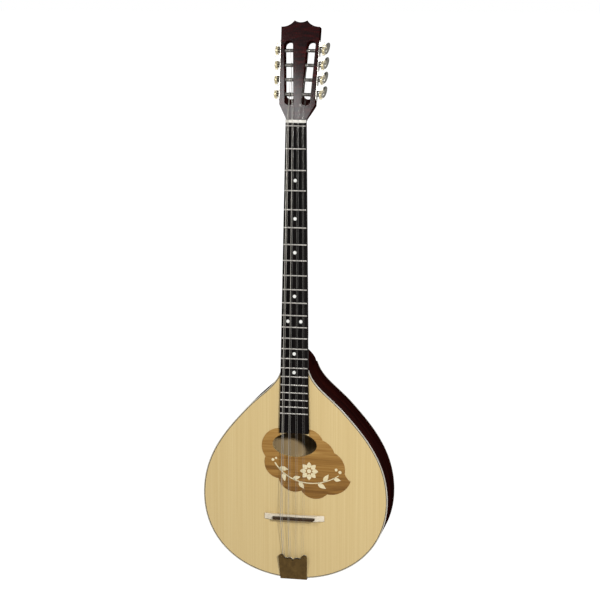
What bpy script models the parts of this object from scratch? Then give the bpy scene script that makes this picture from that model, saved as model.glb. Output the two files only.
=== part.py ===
"""Irish bouzouki: a flat-backed teardrop body, a long neck with a slotted headstock, four double courses.

Frame: metres, +Z up along the instrument, the soundboard facing -Y, the bass side at -X. The origin is
where a wall hanger's fork catches the headstock, in the middle of the head just above the nut.
"""

from math import asin, atan2, cos, hypot, pi, radians, sin, sqrt, tan

import bmesh
import bpy
from mathutils import Matrix, Vector

MM = 0.001
GAP = 0.3 * MM  # left between pieces that touch

# Strings and neck
SCALE_LENGTH = 670 * MM
STOPPED_FRETS = 22
JOINT_FRET = 16
JOINT_PAST_FRET = 4 * MM
HANGER_ABOVE_ZERO_FRET = 22 * MM
NECK_ANGLE = radians(1.5)
NECK_WIDTH = 34.3 * MM  # at the zero fret
NECK_WIDTH_AT_LAST_FRET = 49.2 * MM
NECK_THICKNESS = 16 * MM  # the wood under the fretboard
NUT_START = 5.2 * MM  # from the zero fret
NUT_LENGTH = 5.0 * MM
NUT_HEIGHT = 7.0 * MM
FRETBOARD_THICKNESS = 5.7 * MM
FRETBOARD_PAST_JOINT = 107.5 * MM
FRET_HEIGHT = 1.0 * MM
FRET_WIDTH = 2.0 * MM
FRET_INSET = 0.6 * MM
NECK_BAR = (6 * MM, 9 * MM, 350 * MM)  # width, depth and length
TENON = (18 * MM, 18 * MM)  # width and length
TENON_FROM_FRONT = 8 * MM
TENON_FROM_BACK = 14 * MM
HEEL_LENGTH = 60 * MM
HEEL_CAP_LENGTH = 20 * MM
HEEL_CAP_WIDTH = 46 * MM  # at the body
HEEL_TIP_SHARE = 0.45  # of that width, at the cap's other end

# Body, front outline measured on half the body
SOUNDBOARD_Y = -22 * MM
BODY_DEPTH = 82 * MM
LOWER_BOUT_HALF = 159 * MM
WIDEST_ABOVE_TAIL = 142.4 * MM
BRIDGE_POINT_TO_TAIL = 102.4 * MM
JOINT_HALF_WIDTH = 23.3 * MM
SHOULDER_HALF = 85 * MM
SHOULDER_BELOW_JOINT = 71 * MM
SHOULDER_SLOPE = radians(42.7)
JOINT_SLOPE = radians(17)
TAIL_HANDLE = 87 * MM
LOWER_HANDLE = 89 * MM
UPPER_HANDLE = 67 * MM
SHOULDER_HANDLES = (55 * MM, 40 * MM)
JOINT_HANDLE = 31 * MM
TOP_THICKNESS = 3.0 * MM
BACK_THICKNESS = 3.0 * MM
RIM_THICKNESS = 2.3 * MM
BINDING_WIDTH = 1.5 * MM
BINDING_DEPTH = 3.4 * MM
LINING_WIDTH = 6 * MM
LINING_DEPTH = 12 * MM
NECK_BLOCK_LENGTH = 45 * MM
TAIL_BLOCK_LENGTH = 22 * MM
TAIL_BLOCK_HALF = 35 * MM
BRACE_WIDTH = 8 * MM
BRACE_HEIGHT = 14 * MM
BRACE_END_HEIGHT = 4 * MM
BRACE_SCALLOP = 30 * MM
TOP_BRACES = {"upper": 84 * MM, "middle": 166 * MM, "lower": 292 * MM}  # below the neck joint
BACK_BRACES = {"upper": 90 * MM, "middle": 190 * MM, "lower": 295 * MM}

# Sound hole and guard, placed from the neck joint
HOLE_BELOW_JOINT = 129.2 * MM
HOLE_HALF = (38.0 * MM, 20.8 * MM)  # across and along
GUARD_THICKNESS = 0.9 * MM
GUARD_SIDE_GAP = 0.6 * MM

# Each scallop of the guard: a point on its bulge and the notch where it ends, from the hole's centre
GUARD_START = 27.7 * MM  # above the hole's centre, on the fretboard's edge
GUARD_SCALLOPS = [
    ((-50.0, 16.0), (-50.6, -22.5)),
    ((-46.3, -49.2), (-27.7, -59.7)),
    ((-13.5, -78.3), (11.8, -79.4)),
    ((33.0, -92.3), (56.3, -83.3)),
    ((82.5, -77.5), (96.0, -59.4)),
    ((90.2, -54.2), (86.0, -46.3)),
    ((83.3, -26.6), (68.0, -11.3)),
    ((58.7, 3.1), (48.1, 9.3)),
]
GUARD_LAST_BULGE = (41.0, 19.8)

# Headstock, measured along the head from the nut
HEAD_ANGLE = radians(12)  # back from the neck
HEAD_DROP = 5.0 * MM  # its face under the fretboard's, at the nut
HEAD_THICKNESS = 19 * MM
VENEER_THICKNESS = 1.5 * MM
FLARE_LENGTH = 25 * MM
FLARE_HALF = 29.9 * MM
HEAD_TAPER = radians(1.15)
SHOULDER_ABOVE_SLOT = 23.5 * MM
CROWN_PEAK = (10.6 * MM, 10.5 * MM)  # from the middle, and above the corners
CROWN_DIP = 3.2 * MM
CROWN_SAG = 3.4 * MM
SLOT_WIDTH = 14.8 * MM
SLOT_CENTRE = 14.6 * MM  # from the middle, at the first post
SLOT_TAPER = radians(3.1)
SLOT_BELOW_FIRST_POST = 20.6 * MM
SLOT_ABOVE_LAST_POST = 15.4 * MM
SLOT_RAMP = 15 * MM  # how much shorter the slot is at the head's back, its lower end sloping

# Tuning machines, measured from each post's axis on the side of the head
MACHINES = 4
POST_DEPTH = 7.5 * MM  # behind the head's face
FIRST_POST = 42.3 * MM
POST_PITCH = 24.4 * MM
POST_RADIUS = 3.0 * MM
POST_INSIDE = 27 * MM
POST_CLEARANCE = 0.4 * MM
PLATE_THICKNESS = 1.2 * MM
PLATE_WIDTH = 13 * MM
PLATE_BELOW_FIRST_POST = 10 * MM
PLATE_ABOVE_LAST_POST = 17 * MM
WHEEL_OUT = 7.5 * MM  # from the head's side to the middle of the wheel and the worm
WHEEL_TEETH = 14
WHEEL_RADIUS = 6.5 * MM  # pitch circle
WHEEL_THICKNESS = 4.0 * MM
TOOTH_TIP = 0.6 * MM
TOOTH_ROOT = 0.9 * MM
TOOTH_TIP_WIDTH = 0.8 * MM
TOOTH_ROOT_WIDTH = 1.5 * MM
WORM_RADIUS = 2.9 * MM  # pitch circle
THREAD_CREST = 0.5 * MM
THREAD_HALF_WIDTH = 0.75 * MM
THREAD_TURNS = 2.6
SHAFT_RADIUS = 2.0 * MM
SHAFT_CLEARANCE = 0.4 * MM
EAR_CENTRE = 6.2 * MM  # from the wheel's plane, along the worm
EAR_THICKNESS = 1.6 * MM
EAR_HALF = 3.5 * MM
COLLAR_RADIUS = 2.8 * MM
BUTTON_CENTRE = 24.5 * MM
BUTTON_SIZE = (9.5 * MM, 12 * MM, 21 * MM)
BUTTON_TILT = radians(18)

# Bridge, strings and tailpiece
BRIDGE_HALF = 52 * MM
BRIDGE_WIDTH = 10.0 * MM
BRIDGE_AHEAD = 6.4 * MM  # of the theoretical bridge point
BRIDGE_BASE_HEIGHT = 9.0 * MM
BRIDGE_TIP_HEIGHT = 3.6 * MM
BRIDGE_SHOULDER = 37 * MM
BRIDGE_FOOT = 20 * MM
BRIDGE_ARCH = 2.5 * MM
SADDLE_HALF = 36.5 * MM
SADDLE_WIDTH = 3.4 * MM
SADDLE_AHEAD = 6.6 * MM
SADDLE_TOP = 18.2 * MM  # above the soundboard
BRIDGE_SHIFT = 3 * MM  # either way along the strings, which run level that far
COURSES = 4
COURSE_GAP_AT_NUT = 8.4 * MM
PAIR_GAP_AT_NUT = 2.2 * MM
COURSE_GAP_AT_BRIDGE = 12.6 * MM
PAIR_GAP_AT_BRIDGE = 2.6 * MM
COURSE_GAP_AT_TAIL = 10.4 * MM
PAIR_GAP_AT_TAIL = 2.8 * MM
STRING_RADII = [radius * MM for radius in (0.52, 0.30, 0.42, 0.21, 0.16, 0.16, 0.12, 0.12)]  # bass first
POST_ORDER = (0, 1, 2, 3)  # which post each string takes, counted from the outer string in
STRING_AT_POST = (14.2 * MM, 14.4 * MM, 13.6 * MM, 15.9 * MM)  # from the middle of the head
TAILPIECE_OFFSET = -1.5 * MM  # the real one sits a little towards the bass side
TAILPIECE_SLOPE = radians(12)
TAILPIECE_LENGTH = 46 * MM
TAILPIECE_FOOT_HALF = 23 * MM
TAILPIECE_LUG_HALF = 24.8 * MM
TAILPIECE_LIFT = 0.7 * MM  # over the tail's edge
TAILPIECE_FLANGE = 24 * MM
TAILPIECE_CUSP = 2.3 * MM  # under the lugs' middles
TAILPIECE_NOTCH = 7.3 * MM
SHEET = 1.0 * MM
LUG_RADIUS = 5.0 * MM
HOOK_PLATE_SLOPE = radians(7.5)
HOOK_PLATE_START = 5 * MM  # from the tail
HOOK_PLATE_MARGIN = 1.2 * MM
HOOK_ALONG = 25 * MM  # up the hook plate
HOOK_STAGGER = 2.5 * MM
HOOK_RADIUS = 0.8 * MM
HOOK_HEIGHT = 2.0 * MM
RIVET_RADIUS = 1.2 * MM
SCREW_RADIUS = 1.6 * MM
SCREW_HEAD_RADIUS = 3.0 * MM
SCREW_LENGTH = 14 * MM
SCREW_HALF_SPACING = 11 * MM
SCREW_DEPTH = 17 * MM  # from the soundboard

# Places that follow from the sizes
ZERO_FRET_Z = -HANGER_ABOVE_ZERO_FRET
JOINT_FROM_ZERO = SCALE_LENGTH * (1 - 2 ** (-JOINT_FRET / 12)) + JOINT_PAST_FRET
JOINT_Z = ZERO_FRET_Z - JOINT_FROM_ZERO * cos(NECK_ANGLE)
BRIDGE_POINT_Z = JOINT_Z - (SCALE_LENGTH - JOINT_FROM_ZERO)
TAIL_Z = BRIDGE_POINT_Z - BRIDGE_POINT_TO_TAIL
HOLE_Z = JOINT_Z - HOLE_BELOW_JOINT
BACK_Y = SOUNDBOARD_Y + BODY_DEPTH
FRETBOARD_TOP = FRETBOARD_THICKNESS + GAP  # above the neck's front, and the soundboard at the joint

for old in list(bpy.data.objects):
    bpy.data.objects.remove(old)

PARTS = bpy.data.collections.new("irish_bouzouki")
CUTTERS = bpy.data.collections.new("cutters")
bpy.context.scene.collection.children.link(PARTS)
bpy.context.scene.collection.children.link(CUTTERS)


def material(name, colour, roughness, metallic=0.0):
    made = bpy.data.materials.new(name)
    made.use_nodes = True
    shader = made.node_tree.nodes["Principled BSDF"]
    shader.inputs["Base Color"].default_value = (*colour, 1)
    shader.inputs["Roughness"].default_value = roughness
    shader.inputs["Metallic"].default_value = metallic
    return made


SPRUCE = material("spruce", (0.68, 0.53, 0.28), 0.4)
BRACE_SPRUCE = material("brace_spruce", (0.62, 0.48, 0.28), 0.6)
DARK_MAHOGANY = material("dark_mahogany", (0.03, 0.006, 0.004), 0.25)
FIGURED_VENEER = material("figured_veneer", (0.045, 0.008, 0.006), 0.2)
WALNUT = material("walnut", (0.30, 0.16, 0.055), 0.4)
ROSEWOOD = material("rosewood", (0.012, 0.008, 0.007), 0.4)
BRIDGE_WOOD = material("bridge_wood", (0.72, 0.60, 0.50), 0.5)
BINDING = material("binding", (0.62, 0.62, 0.58), 0.35)
BONE = material("bone", (0.85, 0.83, 0.76), 0.35)
NICKEL = material("nickel", (0.45, 0.45, 0.42), 0.3, 1.0)
BRASS = material("brass", (0.70, 0.52, 0.22), 0.3, 1.0)
STRING_STEEL = material("string_steel", (0.60, 0.58, 0.54), 0.3, 1.0)
BRONZE = material("bronze", (0.10, 0.055, 0.018), 0.4, 0.8)
STEEL = material("steel", (0.5, 0.5, 0.5), 0.4, 1.0)


def add_object(name, data, finish, matrix=Matrix()):
    made = bpy.data.objects.new(name, data)
    made.matrix_world = matrix
    data.materials.clear()
    data.materials.append(finish)
    PARTS.objects.link(made)
    return made


def as_cutter(obj):
    PARTS.objects.unlink(obj)
    CUTTERS.objects.link(obj)
    obj.hide_render = True
    obj.display_type = "WIRE"
    return obj


def evaluated_mesh(obj):
    """The object's shape with its modifiers, as a plain welded mesh; the object goes."""
    bpy.context.view_layer.update()
    mesh = bpy.data.meshes.new_from_object(obj.evaluated_get(bpy.context.evaluated_depsgraph_get()))
    bpy.data.objects.remove(obj)
    work = bmesh.new()
    work.from_mesh(mesh)
    bmesh.ops.remove_doubles(work, verts=work.verts, dist=0.001 * MM)
    work.to_mesh(mesh)
    work.free()
    return mesh


def to_mesh_object(obj, finish):
    name, matrix = obj.name, obj.matrix_world.copy()
    return add_object(name, evaluated_mesh(obj), finish, matrix)


def combine(obj, other, operation):
    step = obj.modifiers.new(other.name, "BOOLEAN")
    step.operation = operation
    step.object = as_cutter(other)


def flat(name, loops, low, high, finish, matrix=Matrix()):
    """A plate whose outline is one or more loops of (x, z), from depth low to depth high along +Y."""
    curve = bpy.data.curves.new(name, "CURVE")
    curve.dimensions = "2D"
    curve.fill_mode = "BOTH"
    curve.extrude = (high - low) / 2
    for loop in loops:
        line = curve.splines.new("POLY")
        line.points.add(len(loop) - 1)
        for point, (x, z) in zip(line.points, loop):
            point.co = (x, z, 0, 1)
        line.use_cyclic_u = True
    upright = Matrix.Translation((0, (low + high) / 2, 0)) @ Matrix.Rotation(pi / 2, 4, "X")
    return add_object(name, curve, finish, matrix @ upright)


def loft(name, rings, finish, matrix=Matrix()):
    """A closed solid through rings of points that run the same way round."""
    work = bmesh.new()
    made = [[work.verts.new(point) for point in ring] for ring in rings]
    count = len(rings[0])
    for ring, following in zip(made, made[1:]):
        for i in range(count):
            j = (i + 1) % count
            work.faces.new((ring[i], ring[j], following[j], following[i]))
    work.faces.new(made[0])
    work.faces.new(made[-1])
    bmesh.ops.recalc_face_normals(work, faces=work.faces)
    mesh = bpy.data.meshes.new(name)
    work.to_mesh(mesh)
    work.free()
    return add_object(name, mesh, finish, matrix)


def box(name, low, high, finish, matrix=Matrix()):
    work = bmesh.new()
    bmesh.ops.create_cube(work, size=1)
    for vert in work.verts:
        vert.co = [a + (b - a) * (c + 0.5) for a, b, c in zip(low, high, vert.co)]
    mesh = bpy.data.meshes.new(name)
    work.to_mesh(mesh)
    work.free()
    return add_object(name, mesh, finish, matrix)


def rod(name, radius, start, end, finish, matrix=Matrix(), sides=12):
    """A cylinder from start to end."""
    start, end = Vector(start), Vector(end)
    work = bmesh.new()
    bmesh.ops.create_cone(
        work, cap_ends=True, segments=sides, radius1=radius, radius2=radius, depth=(end - start).length
    )
    mesh = bpy.data.meshes.new(name)
    work.to_mesh(mesh)
    work.free()
    mesh.shade_smooth()
    mesh.set_sharp_from_angle(angle=radians(40))
    turn = (end - start).to_track_quat("Z", "Y").to_matrix().to_4x4()
    return add_object(name, mesh, finish, matrix @ Matrix.Translation((start + end) / 2) @ turn)


def turned(name, profile, steps, finish, matrix=Matrix()):
    """A turned piece about its own Z, from (radius, height) points that start at the top."""
    mesh = bpy.data.meshes.new(name)
    points = [(radius, 0, height) for radius, height in profile]
    mesh.from_pydata(points, [(i, i + 1) for i in range(len(points) - 1)], [])
    obj = add_object(name, mesh, finish, matrix)
    screw = obj.modifiers.new("turn", "SCREW")
    screw.axis = "Z"
    screw.angle = 2 * pi
    screw.steps = screw.render_steps = steps
    screw.use_merge_vertices = True
    screw.merge_threshold = 0.001 * MM
    screw.use_smooth_shade = False
    return obj


# The body's outline

def bezier(a, b, c, d, t):
    weights = ((1 - t) ** 3, 3 * (1 - t) ** 2 * t, 3 * (1 - t) * t**2, t**3)
    return tuple(sum(w * p[i] for w, p in zip(weights, (a, b, c, d))) for i in (0, 1))


def lean(angle, length):
    """A step of this length up the outline, leaning in towards the neck by angle."""
    return (-length * sin(angle), length * cos(angle))


def outline_spans():
    tail = (0.0, TAIL_Z)
    widest = (LOWER_BOUT_HALF, TAIL_Z + WIDEST_ABOVE_TAIL)
    shoulder = (SHOULDER_HALF, JOINT_Z - SHOULDER_BELOW_JOINT)
    joint = (JOINT_HALF_WIDTH, JOINT_Z)
    below = lean(SHOULDER_SLOPE, SHOULDER_HANDLES[0])
    above = lean(SHOULDER_SLOPE, SHOULDER_HANDLES[1])
    last = lean(JOINT_SLOPE, JOINT_HANDLE)
    return [
        (tail, (TAIL_HANDLE, TAIL_Z), (widest[0], widest[1] - LOWER_HANDLE), widest),
        (
            widest,
            (widest[0], widest[1] + UPPER_HANDLE),
            (shoulder[0] - below[0], shoulder[1] - below[1]),
            shoulder,
        ),
        (
            shoulder,
            (shoulder[0] + above[0], shoulder[1] + above[1]),
            (joint[0] - last[0], joint[1] - last[1]),
            joint,
        ),
    ]


OUTLINE_SPANS = outline_spans()
SPAN_STEPS = 12
OUTLINE_END = len(OUTLINE_SPANS)


def outline_point(t, inset=0.0):
    """A point of the right half outline, t from 0 at the tail to 3 at the joint, moved inwards."""
    span = min(int(t), OUTLINE_END - 1)
    here = bezier(*OUTLINE_SPANS[span], t - span)
    step = 0.001
    before = bezier(*OUTLINE_SPANS[span], max(t - span - step, 0))
    after = bezier(*OUTLINE_SPANS[span], min(t - span + step, 1))
    dx, dz = after[0] - before[0], after[1] - before[1]
    length = hypot(dx, dz)
    return (here[0] - inset * dz / length, here[1] + inset * dx / length)


def find_t(test, low, high):
    """Where test turns from true to false between two places on the outline."""
    for _ in range(40):
        middle = (low + high) / 2
        low, high = (middle, high) if test(middle) else (low, middle)
    return low


def run(start, end, inset=0.0):
    """Outline points from one place to another, the ends and every sampled place between."""
    places = [i / SPAN_STEPS for i in range(OUTLINE_END * SPAN_STEPS + 1)]
    between = [t for t in places if start + 0.02 < t < end - 0.02]
    return [outline_point(t, inset) for t in [start, *between, end]]


def mirrored(points):
    return [(-x, z) for x, z in reversed(points)]


def whole_outline(inset):
    """The closed outline, flat across the neck joint."""
    half = run(0, OUTLINE_END, inset)
    return half + mirrored(half[1:])


def strip(start, end, outer, inner):
    """A band of the right half outline between two insets."""
    return run(start, end, outer) + list(reversed(run(start, end, inner)))


def ellipse(centre, halves, count, start=0.0, sweep=2 * pi):
    closed = abs(sweep) >= 2 * pi
    steps = count if closed else count - 1
    angles = [start + sweep * i / steps for i in range(count)]
    return [(centre[0] + halves[0] * cos(a), centre[1] + halves[1] * sin(a)) for a in angles]


def depth(value):
    """World Y of a depth measured back from the soundboard's face."""
    return SOUNDBOARD_Y + value


def make_plates():
    """Soundboard and back, let into their bindings."""
    edge = whole_outline(BINDING_WIDTH + GAP)
    hole = ellipse((0, HOLE_Z), HOLE_HALF, 32)
    flat("soundboard", [edge, hole], depth(0), depth(TOP_THICKNESS), SPRUCE)
    flat("back_plate", [edge], depth(BODY_DEPTH - BACK_THICKNESS), depth(BODY_DEPTH), DARK_MAHOGANY)


def make_bindings():
    half_outer = run(0, OUTLINE_END)
    half_inner = run(0, OUTLINE_END, BINDING_WIDTH)
    left = mirrored(half_outer)[:-1]
    band = left + half_outer + list(reversed(half_inner)) + [(-x, z) for x, z in half_inner[1:]]
    flat("top_binding", [band], depth(0), depth(BINDING_DEPTH), BINDING)
    flat("back_binding", [band], depth(BODY_DEPTH - BINDING_DEPTH), depth(BODY_DEPTH), BINDING)


def make_rims():
    """Two bent sides that meet at the tail and run to the neck joint."""
    start = find_t(lambda t: outline_point(t)[0] < GAP / 2, 0, 0.5)
    right = strip(start, OUTLINE_END, 0, RIM_THICKNESS)
    low, high = depth(BINDING_DEPTH + GAP), depth(BODY_DEPTH - BINDING_DEPTH - GAP)
    flat("rim_treble", [right], low, high, DARK_MAHOGANY)
    flat("rim_bass", [mirrored(right)], low, high, DARK_MAHOGANY)


def make_linings_and_blocks():
    outer = RIM_THICKNESS + GAP
    inner = outer + LINING_WIDTH
    block_low = JOINT_Z - NECK_BLOCK_LENGTH
    start = find_t(lambda t: outline_point(t, inner)[0] < TAIL_BLOCK_HALF + GAP, 0, 1)
    end = find_t(lambda t: outline_point(t, outer)[1] < block_low - GAP, 2, OUTLINE_END)
    band = strip(start, end, outer, inner)
    top = (depth(TOP_THICKNESS + GAP), depth(TOP_THICKNESS + GAP + LINING_DEPTH))
    back_face = BODY_DEPTH - BACK_THICKNESS - GAP
    back = (depth(back_face - LINING_DEPTH), depth(back_face))
    for name, (low, high) in {"top": top, "back": back}.items():
        flat(f"{name}_lining_treble", [band], low, high, BRACE_SPRUCE)
        flat(f"{name}_lining_bass", [mirrored(band)], low, high, BRACE_SPRUCE)

    low, high = depth(BINDING_DEPTH + GAP), depth(BODY_DEPTH - BINDING_DEPTH - GAP)
    clear = BINDING_WIDTH + GAP + RIM_THICKNESS
    start = find_t(lambda t: outline_point(t, clear)[1] < block_low, 2, OUTLINE_END)
    side = run(start, OUTLINE_END, clear)
    slot_half = TENON[0] / 2 + GAP
    slot_floor = JOINT_Z - TENON[1] - 2 * GAP
    mortise = [(slot_half, side[-1][1]), (slot_half, slot_floor)]
    flat("neck_block", [side + mortise + mirrored(side + mortise)], low, high, BRACE_SPRUCE)

    end = find_t(lambda t: outline_point(t, outer)[0] < TAIL_BLOCK_HALF, 0, 1)
    side = run(0, end, outer) + [(TAIL_BLOCK_HALF, TAIL_Z + outer + TAIL_BLOCK_LENGTH)]
    block = flat("tail_block", [side + mirrored(side[1:])], low, high, BRACE_SPRUCE)
    block = to_mesh_object(block, BRACE_SPRUCE)
    for x in (-SCREW_HALF_SPACING, SCREW_HALF_SPACING):
        hole = rod(
            "tail_screw_hole",
            SCREW_RADIUS + GAP,
            (x, depth(SCREW_DEPTH), TAIL_Z - BINDING_WIDTH),
            (x, depth(SCREW_DEPTH), TAIL_Z + SCREW_LENGTH + GAP),
            BRACE_SPRUCE,
            sides=8,
        )
        combine(block, hole, "DIFFERENCE")


def brace(name, z, glued, free):
    """A bar across the body, glued at one depth, standing up to another and scalloped at its ends."""
    inset = RIM_THICKNESS + LINING_WIDTH + 3 * GAP
    half = min(
        outline_point(find_t(lambda t: outline_point(t, inset)[1] < edge, 0.3, OUTLINE_END), inset)[0]
        for edge in (z - BRACE_WIDTH / 2, z + BRACE_WIDTH / 2)
    )
    tip = glued + (free - glued) * BRACE_END_HEIGHT / BRACE_HEIGHT
    middle = half - BRACE_SCALLOP
    side = [(half, -glued), (half, -tip), (middle, -free)]
    lying = Matrix.Translation((0, 0, z)) @ Matrix.Rotation(pi / 2, 4, "X")
    points = side + mirrored(side)
    flat(name, [points], -BRACE_WIDTH / 2, BRACE_WIDTH / 2, BRACE_SPRUCE, lying)


def make_braces():
    top = depth(TOP_THICKNESS + GAP)
    back = depth(BODY_DEPTH - BACK_THICKNESS - GAP)
    for name, below in TOP_BRACES.items():
        brace(f"top_brace_{name}", JOINT_Z - below, top, top + BRACE_HEIGHT)
    for name, below in BACK_BRACES.items():
        brace(f"back_brace_{name}", JOINT_Z - below, back, back - BRACE_HEIGHT)


def arc(start, bulge, end, steps):
    """Points after start on the arc that passes through the bulge to the end."""
    (ax, ay), (bx, by), (cx, cy) = start, bulge, end
    d = 2 * (ax * (by - cy) + bx * (cy - ay) + cx * (ay - by))
    a, b, c = ax**2 + ay**2, bx**2 + by**2, cx**2 + cy**2
    ux = (a * (by - cy) + b * (cy - ay) + c * (ay - by)) / d
    uy = (a * (cx - bx) + b * (ax - cx) + c * (bx - ax)) / d
    radius = hypot(ax - ux, ay - uy)
    first, middle, last = (atan2(y - uy, x - ux) for x, y in (start, bulge, end))
    sweep = (last - first) % (2 * pi)
    if (middle - first) % (2 * pi) > sweep:
        sweep -= 2 * pi
    angles = [first + sweep * i / steps for i in range(1, steps + 1)]
    return [(ux + radius * cos(t), uy + radius * sin(t)) for t in angles]


def board_half_width(z):
    """Half the fretboard's width at a height."""
    from_zero = (ZERO_FRET_Z - z) / cos(NECK_ANGLE)
    last = SCALE_LENGTH * (1 - 2 ** (-STOPPED_FRETS / 12))
    return (NECK_WIDTH + (NECK_WIDTH_AT_LAST_FRET - NECK_WIDTH) * from_zero / last) / 2


def make_guard():
    """The scalloped guard, laid on the soundboard round the hole and up to the fretboard."""
    side = board_half_width(JOINT_Z - FRETBOARD_PAST_JOINT) + GUARD_SIDE_GAP
    start = (-side, GUARD_START)
    points = [start]
    for bulge, notch in GUARD_SCALLOPS:
        here = points[-1]
        bulge = (bulge[0] * MM, bulge[1] * MM)
        points += arc(here, bulge, (notch[0] * MM, notch[1] * MM), 6)
    last_bulge = (GUARD_LAST_BULGE[0] * MM, GUARD_LAST_BULGE[1] * MM)
    points += arc(points[-1], last_bulge, (side, GUARD_START), 5)
    meet = asin(sqrt(1 - (side / HOLE_HALF[0]) ** 2))
    points += ellipse((0, 0), HOLE_HALF, 26, meet, -(pi + 2 * meet))
    outline = [(x, HOLE_Z + z) for x, z in points]
    flat("guard", [outline], depth(-GAP - GUARD_THICKNESS), depth(-GAP), WALNUT)


# Neck and headstock

def neck_front(z):
    """World Y of the neck's front, under the fretboard."""
    return SOUNDBOARD_Y + (z - JOINT_Z) * tan(NECK_ANGLE)


def board_top(z):
    return neck_front(z) - FRETBOARD_TOP


NECK_END_Z = ZERO_FRET_Z + NUT_START + NUT_LENGTH
HEAD_TILT = NECK_ANGLE + HEAD_ANGLE
HEAD_FRAME = Matrix.Translation((0, board_top(NECK_END_Z) + HEAD_DROP, NECK_END_Z)) @ Matrix.Rotation(
    -HEAD_TILT, 4, "X"
)
SLOT_LOW = FIRST_POST - SLOT_BELOW_FIRST_POST
LAST_POST = FIRST_POST + (MACHINES - 1) * POST_PITCH
SLOT_HIGH = LAST_POST + SLOT_ABOVE_LAST_POST
HEAD_CORNER = SLOT_HIGH + SHOULDER_ABOVE_SLOT


def head_half_width(along):
    if along < FLARE_LENGTH:
        foot = board_half_width(NECK_END_Z)
        return foot + (FLARE_HALF - foot) * along / FLARE_LENGTH
    return FLARE_HALF + (along - FLARE_LENGTH) * tan(HEAD_TAPER)


def slot_centre(along):
    return SLOT_CENTRE + (along - FIRST_POST) * tan(SLOT_TAPER)


def crown():
    """The head's top line from the right corner to the left, three shallow scoops."""
    corner = (head_half_width(HEAD_CORNER), HEAD_CORNER)
    peak = (CROWN_PEAK[0], HEAD_CORNER + CROWN_PEAK[1])
    sag = ((corner[0] + peak[0]) / 2, (corner[1] + peak[1]) / 2 - CROWN_SAG)
    side = [corner, *arc(corner, sag, peak, 6)]
    dip = (0, peak[1] - CROWN_DIP)
    middle = arc(peak, dip, (-peak[0], peak[1]), 6)
    return side + middle[:-1] + mirrored(side)


def slot_loop(side, raised=0.0):
    """One long string slot with round ends, its lower end moved up."""
    half = SLOT_WIDTH / 2
    ends = []
    for along, first in ((SLOT_LOW + raised + half, pi), (SLOT_HIGH - half, 0.0)):
        ends += ellipse((slot_centre(along), along), (half, half), 7, first, pi)
    return ends if side > 0 else mirrored(ends)


def slot_cutter(side):
    """A slot right through the head, shorter at the back because its lower end slopes for the strings."""
    rings = []
    for behind in (-5 * MM, HEAD_THICKNESS + 5 * MM):
        loop = slot_loop(side, SLOT_RAMP * behind / HEAD_THICKNESS)
        rings.append([(x, behind, z) for x, z in loop])
    return loft(f"slot_cut_{side}", rings, DARK_MAHOGANY, HEAD_FRAME)


def section(half_front, half_back, thick, squareness, front, to_point, count=14):
    """A neck section: flat in front, rounded behind."""
    ring = []
    for i in range(count):
        angle = pi * i / (count - 1)
        away = sin(angle) ** (2 / squareness) if 0 < i < count - 1 else 0.0
        across = abs(cos(angle)) ** (2 / squareness) * (1 if angle < pi / 2 else -1)
        half = half_front + (half_back - half_front) * away
        ring.append(to_point(half * across, front + thick * away))
    return ring


def neck_rings():
    """Sections from the body joint up the heel, the shaft and the head."""
    rings = []
    heel_back = BACK_Y
    cap = HEEL_CAP_LENGTH
    steps = [cap * share for share in (0, 0.25, 0.5, 0.75, 1)]
    steps += [cap + (HEEL_LENGTH - cap) * share for share in (0.04, 0.1, 0.2, 0.33, 0.5, 0.75)]
    for up in steps:
        z = JOINT_Z + GAP + up
        front = neck_front(z)
        half = board_half_width(z)
        if up <= cap:
            thick = heel_back - front
            back_half = HEEL_CAP_WIDTH / 2 * (1 - (1 - HEEL_TIP_SHARE) * (up / cap) ** 1.8)
            square = 14 - 8 * up / cap
        else:
            fall = 1 - (up - cap) / (HEEL_LENGTH - cap)
            thick = NECK_THICKNESS + (heel_back - front - NECK_THICKNESS) * fall**2.6
            back_half = HEEL_CAP_WIDTH / 2 * HEEL_TIP_SHARE * fall + half * (1 - fall)
            square = 2.3 + 3.7 * fall**3
        rings.append(section(half, back_half, thick, square, front, lambda x, y, z=z: (x, y, z)))
    for share in (0.0, 0.25, 0.5, 0.75, 1.0):
        z = JOINT_Z + HEEL_LENGTH + (NECK_END_Z - 4 * MM - JOINT_Z - HEEL_LENGTH) * share
        half = board_half_width(z)
        rings.append(section(half, half, NECK_THICKNESS, 2.3, neck_front(z), lambda x, y, z=z: (x, y, z)))
    wood = HEAD_THICKNESS - VENEER_THICKNESS - GAP
    front = VENEER_THICKNESS + GAP
    for along, square in ((2 * MM, 3.0), (12 * MM, 6.0), (FLARE_LENGTH, 14.0), (HEAD_CORNER + 14 * MM, 14.0)):
        half = head_half_width(along)
        ring = section(half, half, wood, square, front, lambda x, y, along=along: (x, y, along))
        rings.append([HEAD_FRAME @ Vector(point) for point in ring])
    return rings


def machine_frames():
    """Each machine's frame: on the head's side at the post's axis, X along the post, Y back, Z up."""
    frames = {}
    for side, start in ((-1, 1), (1, 1 + MACHINES)):
        for i in range(MACHINES):
            along = FIRST_POST + i * POST_PITCH
            place = Matrix.Translation((side * head_half_width(along), POST_DEPTH, along))
            frames[start + i] = (side, HEAD_FRAME @ place @ Matrix.Rotation(side * HEAD_TAPER, 4, "Y"))
    return frames


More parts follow.
